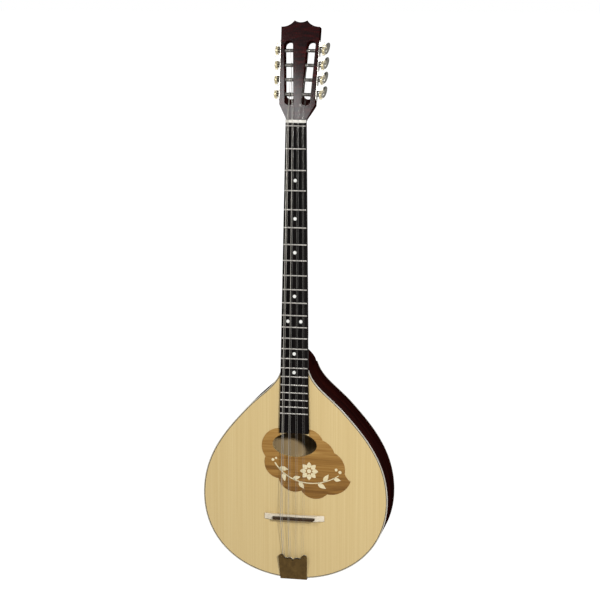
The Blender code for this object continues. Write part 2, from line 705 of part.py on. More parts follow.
def make_neck():
    neck = loft("neck", neck_rings(), DARK_MAHOGANY)
    width, length = TENON
    block = box(
        "tenon",
        (-width / 2, depth(TENON_FROM_FRONT), JOINT_Z - length),
        (width / 2, depth(BODY_DEPTH - TENON_FROM_BACK), JOINT_Z + 5 * MM),
        DARK_MAHOGANY,
    )
    combine(neck, block, "UNION")

    top = HEAD_CORNER + 30 * MM
    beyond = head_half_width(top) + 5 * MM
    above = crown() + [(-beyond, HEAD_CORNER), (-beyond, top), (beyond, top), (beyond, HEAD_CORNER)]
    crown_cutter = flat("crown_cut", [above], -5 * MM, HEAD_THICKNESS + 5 * MM, DARK_MAHOGANY, HEAD_FRAME)
    combine(neck, to_mesh_object(crown_cutter, DARK_MAHOGANY), "DIFFERENCE")
    for side in (-1, 1):
        combine(neck, slot_cutter(side), "DIFFERENCE")

    for number, (side, frame) in machine_frames().items():
        start, end = (side * 2 * MM, 0, 0), (-side * (POST_INSIDE + GAP), 0, 0)
        bore = rod(f"bore_{number}", POST_RADIUS + POST_CLEARANCE, start, end, DARK_MAHOGANY, frame)
        combine(neck, bore, "DIFFERENCE")

    wide, deep, length = NECK_BAR
    bar_low = JOINT_Z + 12 * MM
    lean_back = Matrix.Translation((0, neck_front(bar_low), bar_low)) @ Matrix.Rotation(-NECK_ANGLE, 4, "X")
    groove_low = (-wide / 2 - GAP, -2 * MM, -GAP)
    groove_high = (wide / 2 + GAP, deep + 2 * GAP, length + GAP)
    combine(neck, box("bar_groove", groove_low, groove_high, DARK_MAHOGANY, lean_back), "DIFFERENCE")
    box("neck_bar", (-wide / 2, GAP, 0), (wide / 2, deep + GAP, length), STEEL, lean_back)


def make_head_veneer():
    foot = board_half_width(NECK_END_Z)
    start = GAP
    lower = [(foot, start), (head_half_width(FLARE_LENGTH), FLARE_LENGTH)]
    outline = lower + crown() + mirrored(lower)
    loops = [outline, slot_loop(-1), slot_loop(1)]
    flat("head_veneer", loops, 0, VENEER_THICKNESS, FIGURED_VENEER, HEAD_FRAME)


def board_ring(z, top, bottom):
    half = board_half_width(z)
    return [(half, top, z), (half, bottom, z), (-half, bottom, z), (-half, top, z)]


def fret_z(number):
    return ZERO_FRET_Z - SCALE_LENGTH * (1 - 2 ** (-number / 12)) * cos(NECK_ANGLE)


def fret(name, number):
    """A fret's crown: a low bar with a narrower top, across the board."""
    z = fret_z(number)
    half = board_half_width(z) - FRET_INSET
    base = board_top(z) + 0.3 * MM
    crest = board_top(z) - FRET_HEIGHT
    side = [(0.2, crest), (0.5, crest + 0.5 * MM), (0.5, base)]
    profile = mirrored(side) + side
    rings = [[(x, y, z + share * FRET_WIDTH) for share, y in profile] for x in (-half, half)]
    return loft(name, rings, STRING_STEEL)


def make_fretboard():
    """The board from the nut to the sound hole, thicker over the body, with its pressed-in frets."""
    nut_z = ZERO_FRET_Z + NUT_START - GAP
    end_z = JOINT_Z - FRETBOARD_PAST_JOINT
    on_body = depth(-GAP)
    rings = [
        board_ring(nut_z, board_top(nut_z), neck_front(nut_z) - GAP),
        board_ring(JOINT_Z, board_top(JOINT_Z), on_body),
        board_ring(end_z, board_top(end_z), on_body),
    ]
    board = loft("fretboard", rings, ROSEWOOD)
    for number in range(1, STOPPED_FRETS + 1):
        combine(board, fret(f"fret_{number}", number), "UNION")
    zero = fret("zero_fret", 0)
    zero.location.y -= 0.3 * MM + GAP


def make_nut():
    half = board_half_width(NECK_END_Z)
    low, high = ZERO_FRET_Z + NUT_START, NECK_END_Z - GAP
    front = NUT_HEIGHT - FRETBOARD_TOP
    rings = []
    for z in (low, high):
        base = neck_front(z) - GAP
        top = base - NUT_HEIGHT + GAP
        shoulder = top + 0.8 * MM
        rings.append([(half, base, z), (half, shoulder, z), (half - front, top, z),
                      (front - half, top, z), (-half, shoulder, z), (-half, base, z)])
    loft("nut", rings, BONE)


# Tuning machines

def wheel_mesh():
    """A post with its toothed wheel: the post runs inwards along -X, the wheel stands out at +X."""
    root, tip = WHEEL_RADIUS - TOOTH_ROOT, WHEEL_RADIUS + TOOTH_TIP
    root_half, tip_half = TOOTH_ROOT_WIDTH / 2 / root, TOOTH_TIP_WIDTH / 2 / tip
    loop = []
    for tooth in range(WHEEL_TEETH):
        middle = pi / 2 + (tooth + 0.5) * 2 * pi / WHEEL_TEETH
        for radius, offset in ((root, -root_half), (tip, -tip_half), (tip, tip_half), (root, root_half)):
            loop.append((radius * cos(middle + offset), radius * sin(middle + offset)))
    facing_x = Matrix.Rotation(-pi / 2, 4, "Z")
    inner, outer = WHEEL_OUT - WHEEL_THICKNESS / 2, WHEEL_OUT + WHEEL_THICKNESS / 2
    wheel = to_mesh_object(flat("wheel", [loop], inner, outer, BRASS, facing_x), BRASS)
    post = rod("post", POST_RADIUS, (-POST_INSIDE, 0, 0), (outer + 1.2 * MM, 0, 0), NICKEL)
    post.data.transform(post.matrix_world)
    wheel.data.transform(wheel.matrix_world)
    post.matrix_world = wheel.matrix_world = Matrix()
    combine(post, wheel, "UNION")
    mesh = evaluated_mesh(post)
    bpy.data.objects.remove(wheel)
    return mesh


def thread_mesh():
    """The worm's single ridge, a triangle swept along a right-handed helix about Z."""
    lead = 2 * pi * WHEEL_RADIUS / WHEEL_TEETH
    crest = WORM_RADIUS + THREAD_CREST
    profile = [(crest, 0, 0), (SHAFT_RADIUS - 0.4 * MM, 0, -THREAD_HALF_WIDTH),
               (SHAFT_RADIUS - 0.4 * MM, 0, THREAD_HALF_WIDTH)]
    mesh = bpy.data.meshes.new("thread")
    mesh.from_pydata(profile, [(0, 1), (1, 2), (2, 0)], [])
    thread = add_object("thread", mesh, BRASS)
    screw = thread.modifiers.new("helix", "SCREW")
    screw.axis = "Z"
    screw.angle = 2 * pi * THREAD_TURNS
    screw.screw_offset = lead * THREAD_TURNS
    screw.steps = screw.render_steps = round(8 * THREAD_TURNS)
    screw.use_smooth_shade = False
    mesh = evaluated_mesh(thread)
    work = bmesh.new()
    work.from_mesh(mesh)
    bmesh.ops.translate(work, verts=work.verts, vec=(0, 0, -lead * THREAD_TURNS / 2))
    bmesh.ops.holes_fill(work, edges=[edge for edge in work.edges if edge.is_boundary], sides=3)
    bmesh.ops.recalc_face_normals(work, faces=work.faces)
    work.to_mesh(mesh)
    work.free()
    return mesh


def key_mesh(side):
    """A worm shaft with its thread and button, about Y; the thread's crest faces -Z in the wheel's plane."""
    far = EAR_CENTRE + EAR_THICKNESS / 2
    collar = far + GAP
    button = BUTTON_CENTRE - BUTTON_SIZE[1] / 2 + 1.5 * MM
    profile = [
        (0, button),
        (SHAFT_RADIUS, button),
        (SHAFT_RADIUS, collar + 2 * MM),
        (COLLAR_RADIUS, collar + 2 * MM),
        (COLLAR_RADIUS, collar),
        (SHAFT_RADIUS, collar),
        (SHAFT_RADIUS, -far - 1.2 * MM),
        (0, -far - 1.2 * MM),
    ]
    shaft = turned("shaft", profile, 8, BRASS)
    shaft = to_mesh_object(shaft, BRASS)
    thread = add_object("thread", thread_mesh(), BRASS)
    # Half way up its helix the crest has turned by half the thread's turns from +X. It is brought to +Y here,
    # which the last turn of the whole key takes to -Z.
    thread.data.transform(Matrix.Rotation(pi / 2 - pi * THREAD_TURNS, 4, "Z"))
    combine(shaft, thread, "UNION")

    ball = bmesh.new()
    bmesh.ops.create_uvsphere(ball, u_segments=12, v_segments=8, radius=0.5)
    mesh = bpy.data.meshes.new("button")
    ball.to_mesh(mesh)
    ball.free()
    wide, long, tall = BUTTON_SIZE
    mesh.transform(Matrix.Diagonal((wide, tall, long, 1)))
    mesh.transform(Matrix.Rotation(side * BUTTON_TILT, 4, "Z"))
    mesh.transform(Matrix.Translation((0, 0, BUTTON_CENTRE)))
    button = add_object("button", mesh, NICKEL)
    combine(shaft, button, "UNION")
    result = evaluated_mesh(shaft)
    bpy.data.objects.remove(thread)
    bpy.data.objects.remove(button)
    result.transform(Matrix.Rotation(-pi / 2, 4, "X"))
    return result


def ear_mesh(side):
    """A bearing ear that stands out from the plate round the worm shaft."""
    centre = side * WHEEL_OUT
    over = WHEEL_RADIUS + WORM_RADIUS
    foot = side * PLATE_THICKNESS / 2
    round_end = ellipse((centre, over), (EAR_HALF, EAR_HALF), 7, -pi / 2, side * pi)
    loop = [(foot, over - EAR_HALF), *round_end, (foot, over + EAR_HALF)]
    hole = ellipse((centre, over), (SHAFT_RADIUS + SHAFT_CLEARANCE,) * 2, 10)
    return [loop, hole]


def make_plate(name, side, frames):
    """The strip down one side of the head with an ear on each side of every worm."""
    first = frames[0]
    holes = []
    for i in range(MACHINES):
        along = i * POST_PITCH / cos(HEAD_TAPER)
        holes.append(ellipse((0, along), (POST_RADIUS + POST_CLEARANCE,) * 2, 12))
    half = PLATE_WIDTH / 2
    low = -PLATE_BELOW_FIRST_POST
    high = (MACHINES - 1) * POST_PITCH / cos(HEAD_TAPER) + PLATE_ABOVE_LAST_POST
    outline = [(-half, low), (half, low), (half, high), (-half, high)]
    facing_x = Matrix.Rotation(-side * pi / 2, 4, "Z")
    plate = flat(name, [outline, *holes], GAP, PLATE_THICKNESS, NICKEL, first @ facing_x)
    plate = to_mesh_object(plate, NICKEL)
    for i in range(MACHINES):
        for place in (-EAR_CENTRE, EAR_CENTRE):
            up = Matrix.Translation((0, 0, i * POST_PITCH / cos(HEAD_TAPER)))
            low_y, high_y = place - EAR_THICKNESS / 2, place + EAR_THICKNESS / 2
            ear = flat(f"{name}_ear_{i}", ear_mesh(side), low_y, high_y, NICKEL, first @ up)
            combine(plate, to_mesh_object(ear, NICKEL), "UNION")


def make_machines():
    frames = machine_frames()
    make_plate("tuner_plate_bass", -1, [frames[1 + i][1] for i in range(MACHINES)])
    make_plate("tuner_plate_treble", 1, [frames[1 + MACHINES + i][1] for i in range(MACHINES)])
    post = wheel_mesh()
    keys = {side: key_mesh(side) for side in (-1, 1)}
    above = Matrix.Translation((0, 0, WHEEL_RADIUS + WORM_RADIUS))
    for number, (side, frame) in frames.items():
        facing = Matrix.Rotation(0 if side > 0 else pi, 4, "Z")
        add_object(f"tuner_post_{number}", post, NICKEL, frame @ facing)
        outward = Matrix.Translation((side * WHEEL_OUT, 0, 0))
        add_object(f"tuner_key_{number}", keys[side], NICKEL, frame @ outward @ above)


# Bridge, tailpiece and strings

def make_bridge():
    """A floating base with two feet, and the dark saddle on it."""
    z = BRIDGE_POINT_Z + BRIDGE_AHEAD
    foot = depth(-GAP)
    top, tip, arch = (foot - h for h in (BRIDGE_BASE_HEIGHT, BRIDGE_TIP_HEIGHT, BRIDGE_ARCH))
    under = arc((-BRIDGE_FOOT, foot), (0, arch), (BRIDGE_FOOT, foot), 6)
    over = [(BRIDGE_HALF, foot), (BRIDGE_HALF, tip), (BRIDGE_SHOULDER, top)]
    points = [(-BRIDGE_FOOT, foot), *under, *over, *mirrored(over)]
    lying = Matrix.Translation((0, 0, z)) @ Matrix.Rotation(pi / 2, 4, "X")
    base = [(x, -y) for x, y in points]
    flat("bridge_base", [base], -BRIDGE_WIDTH / 2, BRIDGE_WIDTH / 2, BRIDGE_WOOD, lying)

    low, high = top - GAP, depth(-SADDLE_TOP)
    half = SADDLE_HALF
    saddle = [(-half, -low), (half, -low), (half - 2 * MM, -high), (2 * MM - half, -high)]
    lying = Matrix.Translation((0, 0, BRIDGE_POINT_Z + SADDLE_AHEAD)) @ Matrix.Rotation(pi / 2, 4, "X")
    flat("bridge_saddle", [saddle], -SADDLE_WIDTH / 2, SADDLE_WIDTH / 2, ROSEWOOD, lying)


# Each sheet's frame: on its inner face at its foot, X right, Y back from the sheet, Z up the sheet
COVER_FRAME = Matrix.Translation((TAILPIECE_OFFSET, depth(-TAILPIECE_LIFT), TAIL_Z - GAP)) @ Matrix.Rotation(
    TAILPIECE_SLOPE, 4, "X"
)
HOOK_FRAME = Matrix.Translation((TAILPIECE_OFFSET, depth(-GAP), TAIL_Z + HOOK_PLATE_START)) @ Matrix.Rotation(
    HOOK_PLATE_SLOPE, 4, "X"
)
LUG_X = TAILPIECE_LUG_HALF - LUG_RADIUS
LUG_Z = TAILPIECE_LENGTH - LUG_RADIUS


def on_hook_plate(z):
    """How far up the hook plate a line square to the cover crosses it, from its height on the cover."""
    across = HOOK_FRAME.inverted() @ COVER_FRAME
    start, end = across @ Vector((0, 0, z)), across @ Vector((0, 10 * MM, z))
    return start.z + (end.z - start.z) * (-SHEET / 2 - start.y) / (end.y - start.y)


def sheet_outline(foot, foot_half, lug_z, radius, cusp, notch):
    """A foot, straight sides, two round lugs and a cusped edge between them."""
    side = [(foot_half, foot), *ellipse((LUG_X, lug_z), (radius, radius), 9, 0, pi)]
    low = lug_z - cusp
    edge = [(LUG_X - radius - 1.2 * MM, low), (7.4 * MM, low + 0.2 * MM), (2.6 * MM, low - 1.0 * MM)]
    half = side + edge
    return half + [(0, lug_z - notch)] + mirrored(half)


def make_tailpiece():
    """A hook plate and, riveted over it, a cover whose flange is folded back and screwed to the tail."""
    margin = HOOK_PLATE_MARGIN
    plate_lug = on_hook_plate(LUG_Z)
    outline = sheet_outline(
        0, TAILPIECE_FOOT_HALF - margin, plate_lug, LUG_RADIUS - margin, TAILPIECE_CUSP, TAILPIECE_NOTCH
    )
    plate = to_mesh_object(flat("tailpiece_hook_plate", [outline], -SHEET, 0, STEEL, HOOK_FRAME), STEEL)
    for i, (x, z) in enumerate(hook_places()):
        start, end = (x, -SHEET / 2, z), (x, -SHEET - HOOK_HEIGHT, z)
        combine(plate, rod(f"hook_{i}", HOOK_RADIUS, start, end, STEEL, HOOK_FRAME, 6), "UNION")

    fold = SHEET * 0.9
    outline = sheet_outline(
        -fold, TAILPIECE_FOOT_HALF, LUG_Z, LUG_RADIUS, TAILPIECE_CUSP, TAILPIECE_NOTCH
    )
    cover = to_mesh_object(flat("tailpiece_cover", [outline], -SHEET, 0, BRONZE, COVER_FRAME), BRONZE)
    left, right = (TAILPIECE_OFFSET + side * TAILPIECE_FOOT_HALF for side in (-1, 1))
    low = (left, depth(-TAILPIECE_LIFT) - fold, TAIL_Z - GAP - SHEET)
    high = (right, depth(TAILPIECE_FLANGE), TAIL_Z - GAP)
    combine(cover, box("tailpiece_flange", low, high, BRONZE), "UNION")

    for name, x in (("bass", -LUG_X), ("treble", LUG_X)):
        start, end = (x, -3 * SHEET, LUG_Z), (x, 10 * SHEET, LUG_Z)
        hole = rod(f"rivet_hole_{name}", RIVET_RADIUS + GAP, start, end, BRONZE, COVER_FRAME, 8)
        combine(cover, hole, "DIFFERENCE")
        combine(plate, hole_copy(hole), "DIFFERENCE")
        rivet(f"tailpiece_rivet_{name}", x)
    for name, x in (("bass", -SCREW_HALF_SPACING), ("treble", SCREW_HALF_SPACING)):
        tail_screw(f"tailpiece_screw_{name}", x, cover)


def hole_copy(hole):
    return add_object(f"{hole.name}_again", hole.data.copy(), BRONZE, hole.matrix_world)


def rivet(name, x):
    """A shank through both sheets with a low head on the cover."""
    face = SHEET + GAP
    head = RIVET_RADIUS + 0.8 * MM
    tail = -6 * SHEET
    profile = [
        (0, face + 0.8 * MM),
        (head * 0.7, face + 0.7 * MM),
        (head, face),
        (RIVET_RADIUS, face),
        (RIVET_RADIUS, tail),
        (0, tail),
    ]
    forward = Matrix.Translation((x, 0, LUG_Z)) @ Matrix.Rotation(pi / 2, 4, "X")
    turned(name, profile, 8, BRONZE, COVER_FRAME @ forward)


def tail_screw(name, x, cover):
    """A screw through the cover's flange and the rim into the tail block."""
    y = depth(SCREW_DEPTH)
    flange = TAIL_Z - GAP - SHEET
    start, end = (x, y, flange - SHEET), (x, y, TAIL_Z + 4 * MM)
    hole = rod(f"{name}_hole", SCREW_RADIUS + GAP, start, end, STEEL, sides=8)
    combine(cover, hole, "DIFFERENCE")
    rim = to_mesh_object(bpy.data.objects["rim_bass" if x < 0 else "rim_treble"], DARK_MAHOGANY)
    combine(rim, hole_copy(hole), "DIFFERENCE")
    head = flange - GAP
    tip = TAIL_Z + SCREW_LENGTH
    profile = [
        (0, tip),
        (SCREW_RADIUS * 0.5, tip),
        (SCREW_RADIUS, tip - 3 * MM),
        (SCREW_RADIUS, head),
        (SCREW_HEAD_RADIUS, head),
        (SCREW_HEAD_RADIUS * 0.8, head - 0.9 * MM),
        (0, head - 0.9 * MM),
    ]
    turned(name, profile, 8, STEEL, Matrix.Translation((x, y, 0)))


def string_offsets(course_gap, pair_gap):
    """Where the eight strings lie across the instrument, bass first."""
    middle = (COURSES - 1) / 2
    return [(i - middle) * course_gap + pair for i in range(COURSES) for pair in (-pair_gap / 2, pair_gap / 2)]


def hook_places():
    """Each string's hook on the hook plate, in two rows."""
    offsets = string_offsets(COURSE_GAP_AT_TAIL, PAIR_GAP_AT_TAIL)
    return [(x, HOOK_ALONG - (HOOK_STAGGER if i % 2 else 0)) for i, x in enumerate(offsets)]


def string_route(number):
    """A string from its hook over the saddle, the zero fret and the nut to its post."""
    radius = STRING_RADII[number]
    x_hook, z_hook = hook_places()[number]
    hook = HOOK_FRAME @ Vector((x_hook, -SHEET - HOOK_HEIGHT / 2, z_hook + HOOK_RADIUS + GAP + radius))
    x_saddle = string_offsets(COURSE_GAP_AT_BRIDGE, PAIR_GAP_AT_BRIDGE)[number]
    x_nut = string_offsets(COURSE_GAP_AT_NUT, PAIR_GAP_AT_NUT)[number]
    saddle_z = BRIDGE_POINT_Z + SADDLE_AHEAD
    saddle_y = depth(-SADDLE_TOP) - GAP - radius
    over = SADDLE_WIDTH / 2 + BRIDGE_SHIFT + GAP
    zero_y = board_top(ZERO_FRET_Z) - FRET_HEIGHT - 2 * GAP - 0.3 * MM - radius
    nut_y = board_top(NECK_END_Z) - (NUT_HEIGHT - FRETBOARD_TOP) - 2 * GAP - radius
    side = -1 if number < COURSES else 1
    order = number if number < COURSES else 2 * COURSES - 1 - number
    post = FIRST_POST + POST_ORDER[order] * POST_PITCH
    x_post = side * STRING_AT_POST[order]
    front = POST_DEPTH - POST_RADIUS - GAP - radius
    last = HEAD_FRAME @ Vector((x_post, front, post))
    return [
        hook,
        Vector((x_saddle, saddle_y, saddle_z - over)),
        Vector((x_saddle, saddle_y, saddle_z + over)),
        Vector((x_nut, zero_y, ZERO_FRET_Z)),
        Vector((x_nut, min(nut_y, zero_y), NECK_END_Z - NUT_LENGTH / 2)),
        Vector((x_nut, min(nut_y, zero_y) + 0.2 * MM, NECK_END_Z + 0.6 * MM)),
        last,
    ]


def make_strings():
    for number in range(2 * COURSES):
        curve = bpy.data.curves.new(f"string_{number + 1}", "CURVE")
        curve.dimensions = "3D"
        curve.bevel_depth = STRING_RADII[number]
        curve.bevel_resolution = 2
        curve.use_fill_caps = True
        line = curve.splines.new("POLY")
        route = string_route(number)
        line.points.add(len(route) - 1)
        for point, place in zip(line.points, route):
            point.co = (*place, 1)
        add_object(curve.name, curve, STRING_STEEL)


make_plates()
make_bindings()
make_rims()
make_linings_and_blocks()
make_braces()
make_guard()
make_neck()
make_head_veneer()
make_fretboard()
make_nut()
make_machines()
make_bridge()
make_tailpiece()
make_strings()
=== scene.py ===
"""Irish bouzouki: a flat-backed teardrop body, a long neck with a slotted headstock, four double courses.

Metres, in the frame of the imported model: +Z up along the instrument, the soundboard facing -Y, the bass
side at -X. The pieces come in the order in which the instrument is put together.
"""

from math import asin, atan2, cos, hypot, pi, radians, sin, sqrt, tan

import bmesh
import bpy
from mathutils import Matrix, Vector


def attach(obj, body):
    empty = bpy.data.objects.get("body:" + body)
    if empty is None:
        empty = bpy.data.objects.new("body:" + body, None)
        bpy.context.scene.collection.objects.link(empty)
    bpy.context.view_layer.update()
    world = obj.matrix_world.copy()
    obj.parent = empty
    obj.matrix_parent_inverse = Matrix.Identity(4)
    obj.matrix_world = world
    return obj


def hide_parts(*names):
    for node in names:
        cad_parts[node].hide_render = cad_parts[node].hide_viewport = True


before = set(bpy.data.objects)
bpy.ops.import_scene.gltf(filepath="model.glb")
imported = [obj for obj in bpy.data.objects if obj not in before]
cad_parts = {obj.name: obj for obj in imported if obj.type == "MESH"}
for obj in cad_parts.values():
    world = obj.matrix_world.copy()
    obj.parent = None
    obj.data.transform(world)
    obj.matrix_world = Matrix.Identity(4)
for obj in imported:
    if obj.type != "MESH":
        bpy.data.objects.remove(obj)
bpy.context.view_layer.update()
MM = 0.001


# The studio. The instrument hangs by its headstock over a pale floor in a plain white surround. A lamp on the
# upper right lights its front and shines in at the sound hole. A broader one on the left shows in the gloss.

FLOOR_Z = -1.12
FLOOR_HALF = 90
CAMERA_AZIMUTH = radians(11.33)
CAMERA_ELEVATION = radians(9.84)
CAMERA_ROLL = radians(0.08)
CAMERA_DISTANCE = 3.003
CAMERA_TARGET = Vector((0.0087, -0.022, -0.31085))
LENS_LENGTH, LENS_FILM = 108.23, 36.0
SURROUND_LIGHT = 0.18  # on the object, where rays that see the surround itself get 1
FLOOR_GLOW, FLOOR_GLOW_SHARE = 1.16, 0.9
LAMPS = (  # name, place, size and power
    ("lamp_right", Vector((0.692, -1.506, 0.023)), 0.12, 19),
    ("lamp_left", Vector((-0.78, -2.66, 1.06)), 0.5, 23),
)
LAMPS_AIM = Vector((0, 0, -0.5))


def srgb(red, green, blue):
    """A colour from its 0-255 values on screen."""
    return (*(((value / 255 + 0.055) / 1.055) ** 2.4 for value in (red, green, blue)), 1.0)


class Tap:
    """An output in a node tree. Python's operators on it add Math nodes; node() adds any other node."""

    def __init__(self, tree, socket):
        self.tree, self.socket = tree, socket

    def node(self, kind, values, output=0, stops=(), **settings):
        made = self.tree.nodes.new(kind)
        for name, setting in settings.items():
            setattr(made, name, setting)
        if stops:
            elements = made.color_ramp.elements
            elements[0].position, elements[0].color = stops[0]
            elements[-1].position, elements[-1].color = stops[-1]
            for place, colour in stops[1:-1]:
                elements.new(place).color = colour
        for name, value in values.items():
            if isinstance(value, Tap):
                self.tree.links.new(value.socket, made.inputs[name])
            else:
                made.inputs[name].default_value = value
        return Tap(self.tree, made.outputs[output])

    def into(self, node, name):
        self.tree.links.new(self.socket, node.inputs[name])

    def maths(self, operation, first, second):
        return self.node("ShaderNodeMath", {0: first, 1: second}, operation=operation)

    def __add__(self, other):
        return self.maths("ADD", self, other)

    def __mul__(self, other):
        return self.maths("MULTIPLY", self, other)

    def __sub__(self, other):
        return self.maths("SUBTRACT", self, other)

    def __rsub__(self, other):
        return self.maths("SUBTRACT", other, self)

    def __truediv__(self, other):
        return self.maths("DIVIDE", self, other)

    def __pow__(self, other):
        return self.maths("POWER", self, other)

    def __rpow__(self, other):
        return self.maths("POWER", other, self)

    __radd__ = __add__
    __rmul__ = __mul__


def seen_white(tree):
    """One for the rays that see the surround itself, in the camera or in polished metal and glass."""
    path = tree.nodes.new("ShaderNodeLightPath")
    camera, glossy, through = (
        Tap(tree, path.outputs[name]) for name in ("Is Camera Ray", "Is Glossy Ray", "Is Transmission Ray")
    )
    return camera.maths("MINIMUM", camera + glossy + through, 1.0)


def linked(name, data):
    """A new object of this mesh, curve, lamp or camera, in the scene."""
    made = bpy.data.objects.new(name, data)
    bpy.context.scene.collection.objects.link(made)
    return made


surround = bpy.data.worlds.new("white_surround")
surround.use_nodes = True
sky = surround.node_tree.nodes["Background"]
sky.inputs["Color"].default_value = (1, 1, 1, 1)
(seen_white(surround.node_tree) * (1 - SURROUND_LIGHT) + SURROUND_LIGHT).into(sky, "Strength")
bpy.context.scene.world = surround
bpy.context.scene.view_settings.view_transform = "Standard"

floor_mesh = bpy.data.meshes.new("studio_floor")
floor_corners = [(x * FLOOR_HALF, y * FLOOR_HALF, FLOOR_Z) for x, y in ((-1, -1), (1, -1), (1, 1), (-1, 1))]
floor_mesh.from_pydata(floor_corners, [], [(0, 1, 2, 3)])
floor_paint = bpy.data.materials.new("pale_floor")
floor_paint.use_nodes = True
floor_tree = floor_paint.node_tree
seen = seen_white(floor_tree)
matt = seen.node("ShaderNodeBsdfDiffuse", {"Color": srgb(240, 240, 240)})
glow = seen.node("ShaderNodeEmission", {"Color": (1, 1, 1, 1), "Strength": FLOOR_GLOW})
seen.node("ShaderNodeMixShader", {0: seen * FLOOR_GLOW_SHARE, 1: matt, 2: glow}).into(
    floor_tree.nodes["Material Output"], "Surface"
)
floor_mesh.materials.append(floor_paint)
floor = linked("studio_floor", floor_mesh)

for name, place, size, power in LAMPS:
    lamp = bpy.data.lights.new(name, "AREA")
    lamp.shape, lamp.size, lamp.energy = "DISK", size, power
    facing = (place - LAMPS_AIM).to_track_quat("Z", "Y").to_matrix().to_4x4()
    linked(name, lamp).matrix_world = Matrix.Translation(place) @ facing

lens = bpy.data.cameras.new("camera")
lens.lens, lens.sensor_width = LENS_LENGTH, LENS_FILM
camera = linked("camera", lens)
back = Vector((
    sin(CAMERA_AZIMUTH) * cos(CAMERA_ELEVATION),
    -cos(CAMERA_AZIMUTH) * cos(CAMERA_ELEVATION),
    sin(CAMERA_ELEVATION),
))
camera.matrix_world = (
    Matrix.Translation(CAMERA_TARGET + back * CAMERA_DISTANCE)
    @ back.to_track_quat("Z", "Y").to_matrix().to_4x4()
    @ Matrix.Rotation(CAMERA_ROLL, 4, "Z")
)
bpy.context.scene.camera = camera


# The soundboard: a 3 mm plate of close-grained spruce with the sound hole cut in it, thinly lacquered.
# It is let into the binding round its edge, with a dark purfling strip between them.

SCALE_LENGTH = 670 * MM
ZERO_FRET_Z = -22 * MM
NECK_ANGLE = radians(1.5)


def from_zero_fret(number):
    """How far a fret lies from the zero fret, by the rule of the twelfth root of two."""
    return SCALE_LENGTH * (1 - 2 ** (-number / 12))


JOINT_FROM_ZERO = from_zero_fret(16) + 4 * MM
JOINT_Z = ZERO_FRET_Z - JOINT_FROM_ZERO * cos(NECK_ANGLE)
BRIDGE_POINT_Z = JOINT_Z - (SCALE_LENGTH - JOINT_FROM_ZERO)
TAIL_Z = BRIDGE_POINT_Z - 102.4 * MM
SOUNDBOARD_Y = -22 * MM
WIDEST = (159 * MM, TAIL_Z + 142.4 * MM)
SHOULDER = (85 * MM, JOINT_Z - 71 * MM)
SHOULDER_LEAN = radians(42.7)
JOINT_LEAN = radians(17)
JOINT_HALF_WIDTH = 23.3 * MM
HOLE_Z = JOINT_Z - 129.2 * MM
HOLE_HALF = (38.0 * MM, 20.8 * MM)
TOP_THICKNESS = 3.0 * MM
BINDING_WIDTH = 1.5 * MM
PURFLING_WIDTH = 0.8 * MM
GLUE_LINE = 0.02 * MM
SPRUCE_STOPS = [(0.3, (200, 174, 119)), (0.5, (206, 181, 127)), (0.7, (212, 189, 136))]


def lean(angle, length):
    """A step of this length up the outline, leaning in towards the neck."""
    return Vector((-length * sin(angle), length * cos(angle)))


def bezier(a, b, c, d, t):
    return a * (1 - t) ** 3 + b * 3 * (1 - t) ** 2 * t + c * 3 * (1 - t) * t**2 + d * t**3


tail, widest, shoulder = Vector((0, TAIL_Z)), Vector(WIDEST), Vector(SHOULDER)
joint = Vector((JOINT_HALF_WIDTH, JOINT_Z))
OUTLINE_SPANS = [
    (tail, tail + Vector((87 * MM, 0)), widest - Vector((0, 89 * MM)), widest),
    (widest, widest + Vector((0, 67 * MM)), shoulder - lean(SHOULDER_LEAN, 55 * MM), shoulder),
    (shoulder, shoulder + lean(SHOULDER_LEAN, 40 * MM), joint - lean(JOINT_LEAN, 31 * MM), joint),
]
OUTLINE_END = len(OUTLINE_SPANS)
SPAN_STEPS = 40


def outline_point(t, inset):
    """A point of the right half outline, t from 0 at the tail to 3 at the neck joint, moved inwards."""
    span = min(int(t), OUTLINE_END - 1)
    here = bezier(*OUTLINE_SPANS[span], t - span)
    before, after = max(t - span - 0.001, 0), min(t - span + 0.001, 1)
    run_on = (bezier(*OUTLINE_SPANS[span], after) - bezier(*OUTLINE_SPANS[span], before)).normalized()
    return (here.x - inset * run_on.y, here.y + inset * run_on.x)


def run(inset):
    """The right half outline from the tail to the neck joint, moved inwards."""
    return [outline_point(i / SPAN_STEPS, inset) for i in range(SPAN_STEPS * OUTLINE_END + 1)]


def mirrored(points):
    return [(-x, z) for x, z in reversed(points)]


def whole_outline(inset):
    half = run(inset)
    return half + mirrored(half[1:])


def ellipse(centre, halves, count, start=0.0, sweep=2 * pi):
    steps = count if abs(sweep) >= 2 * pi else count - 1
    angles = [start + sweep * i / steps for i in range(count)]
    return [(centre[0] + halves[0] * cos(a), centre[1] + halves[1] * sin(a)) for a in angles]


def depth(value):
    """World Y of a depth measured back from the soundboard's face."""
    return SOUNDBOARD_Y + value


def close_up(work, name, place=Matrix(), turn=35):
    """Ends a mesh: faces out, smooth except over edges sharper than turn degrees."""
    bmesh.ops.remove_doubles(work, verts=work.verts, dist=0.002 * MM)
    bmesh.ops.recalc_face_normals(work, faces=work.faces)
    for face in work.faces:
        face.smooth = True
    for edge in work.edges:
        if len(edge.link_faces) != 2 or edge.calc_face_angle(0) > radians(turn):
            edge.smooth = False
    mesh = bpy.data.meshes.new(name)
    work.to_mesh(mesh)
    work.free()
    mesh.transform(place)
    if place.determinant() < 0:
        mesh.flip_normals()
    return mesh


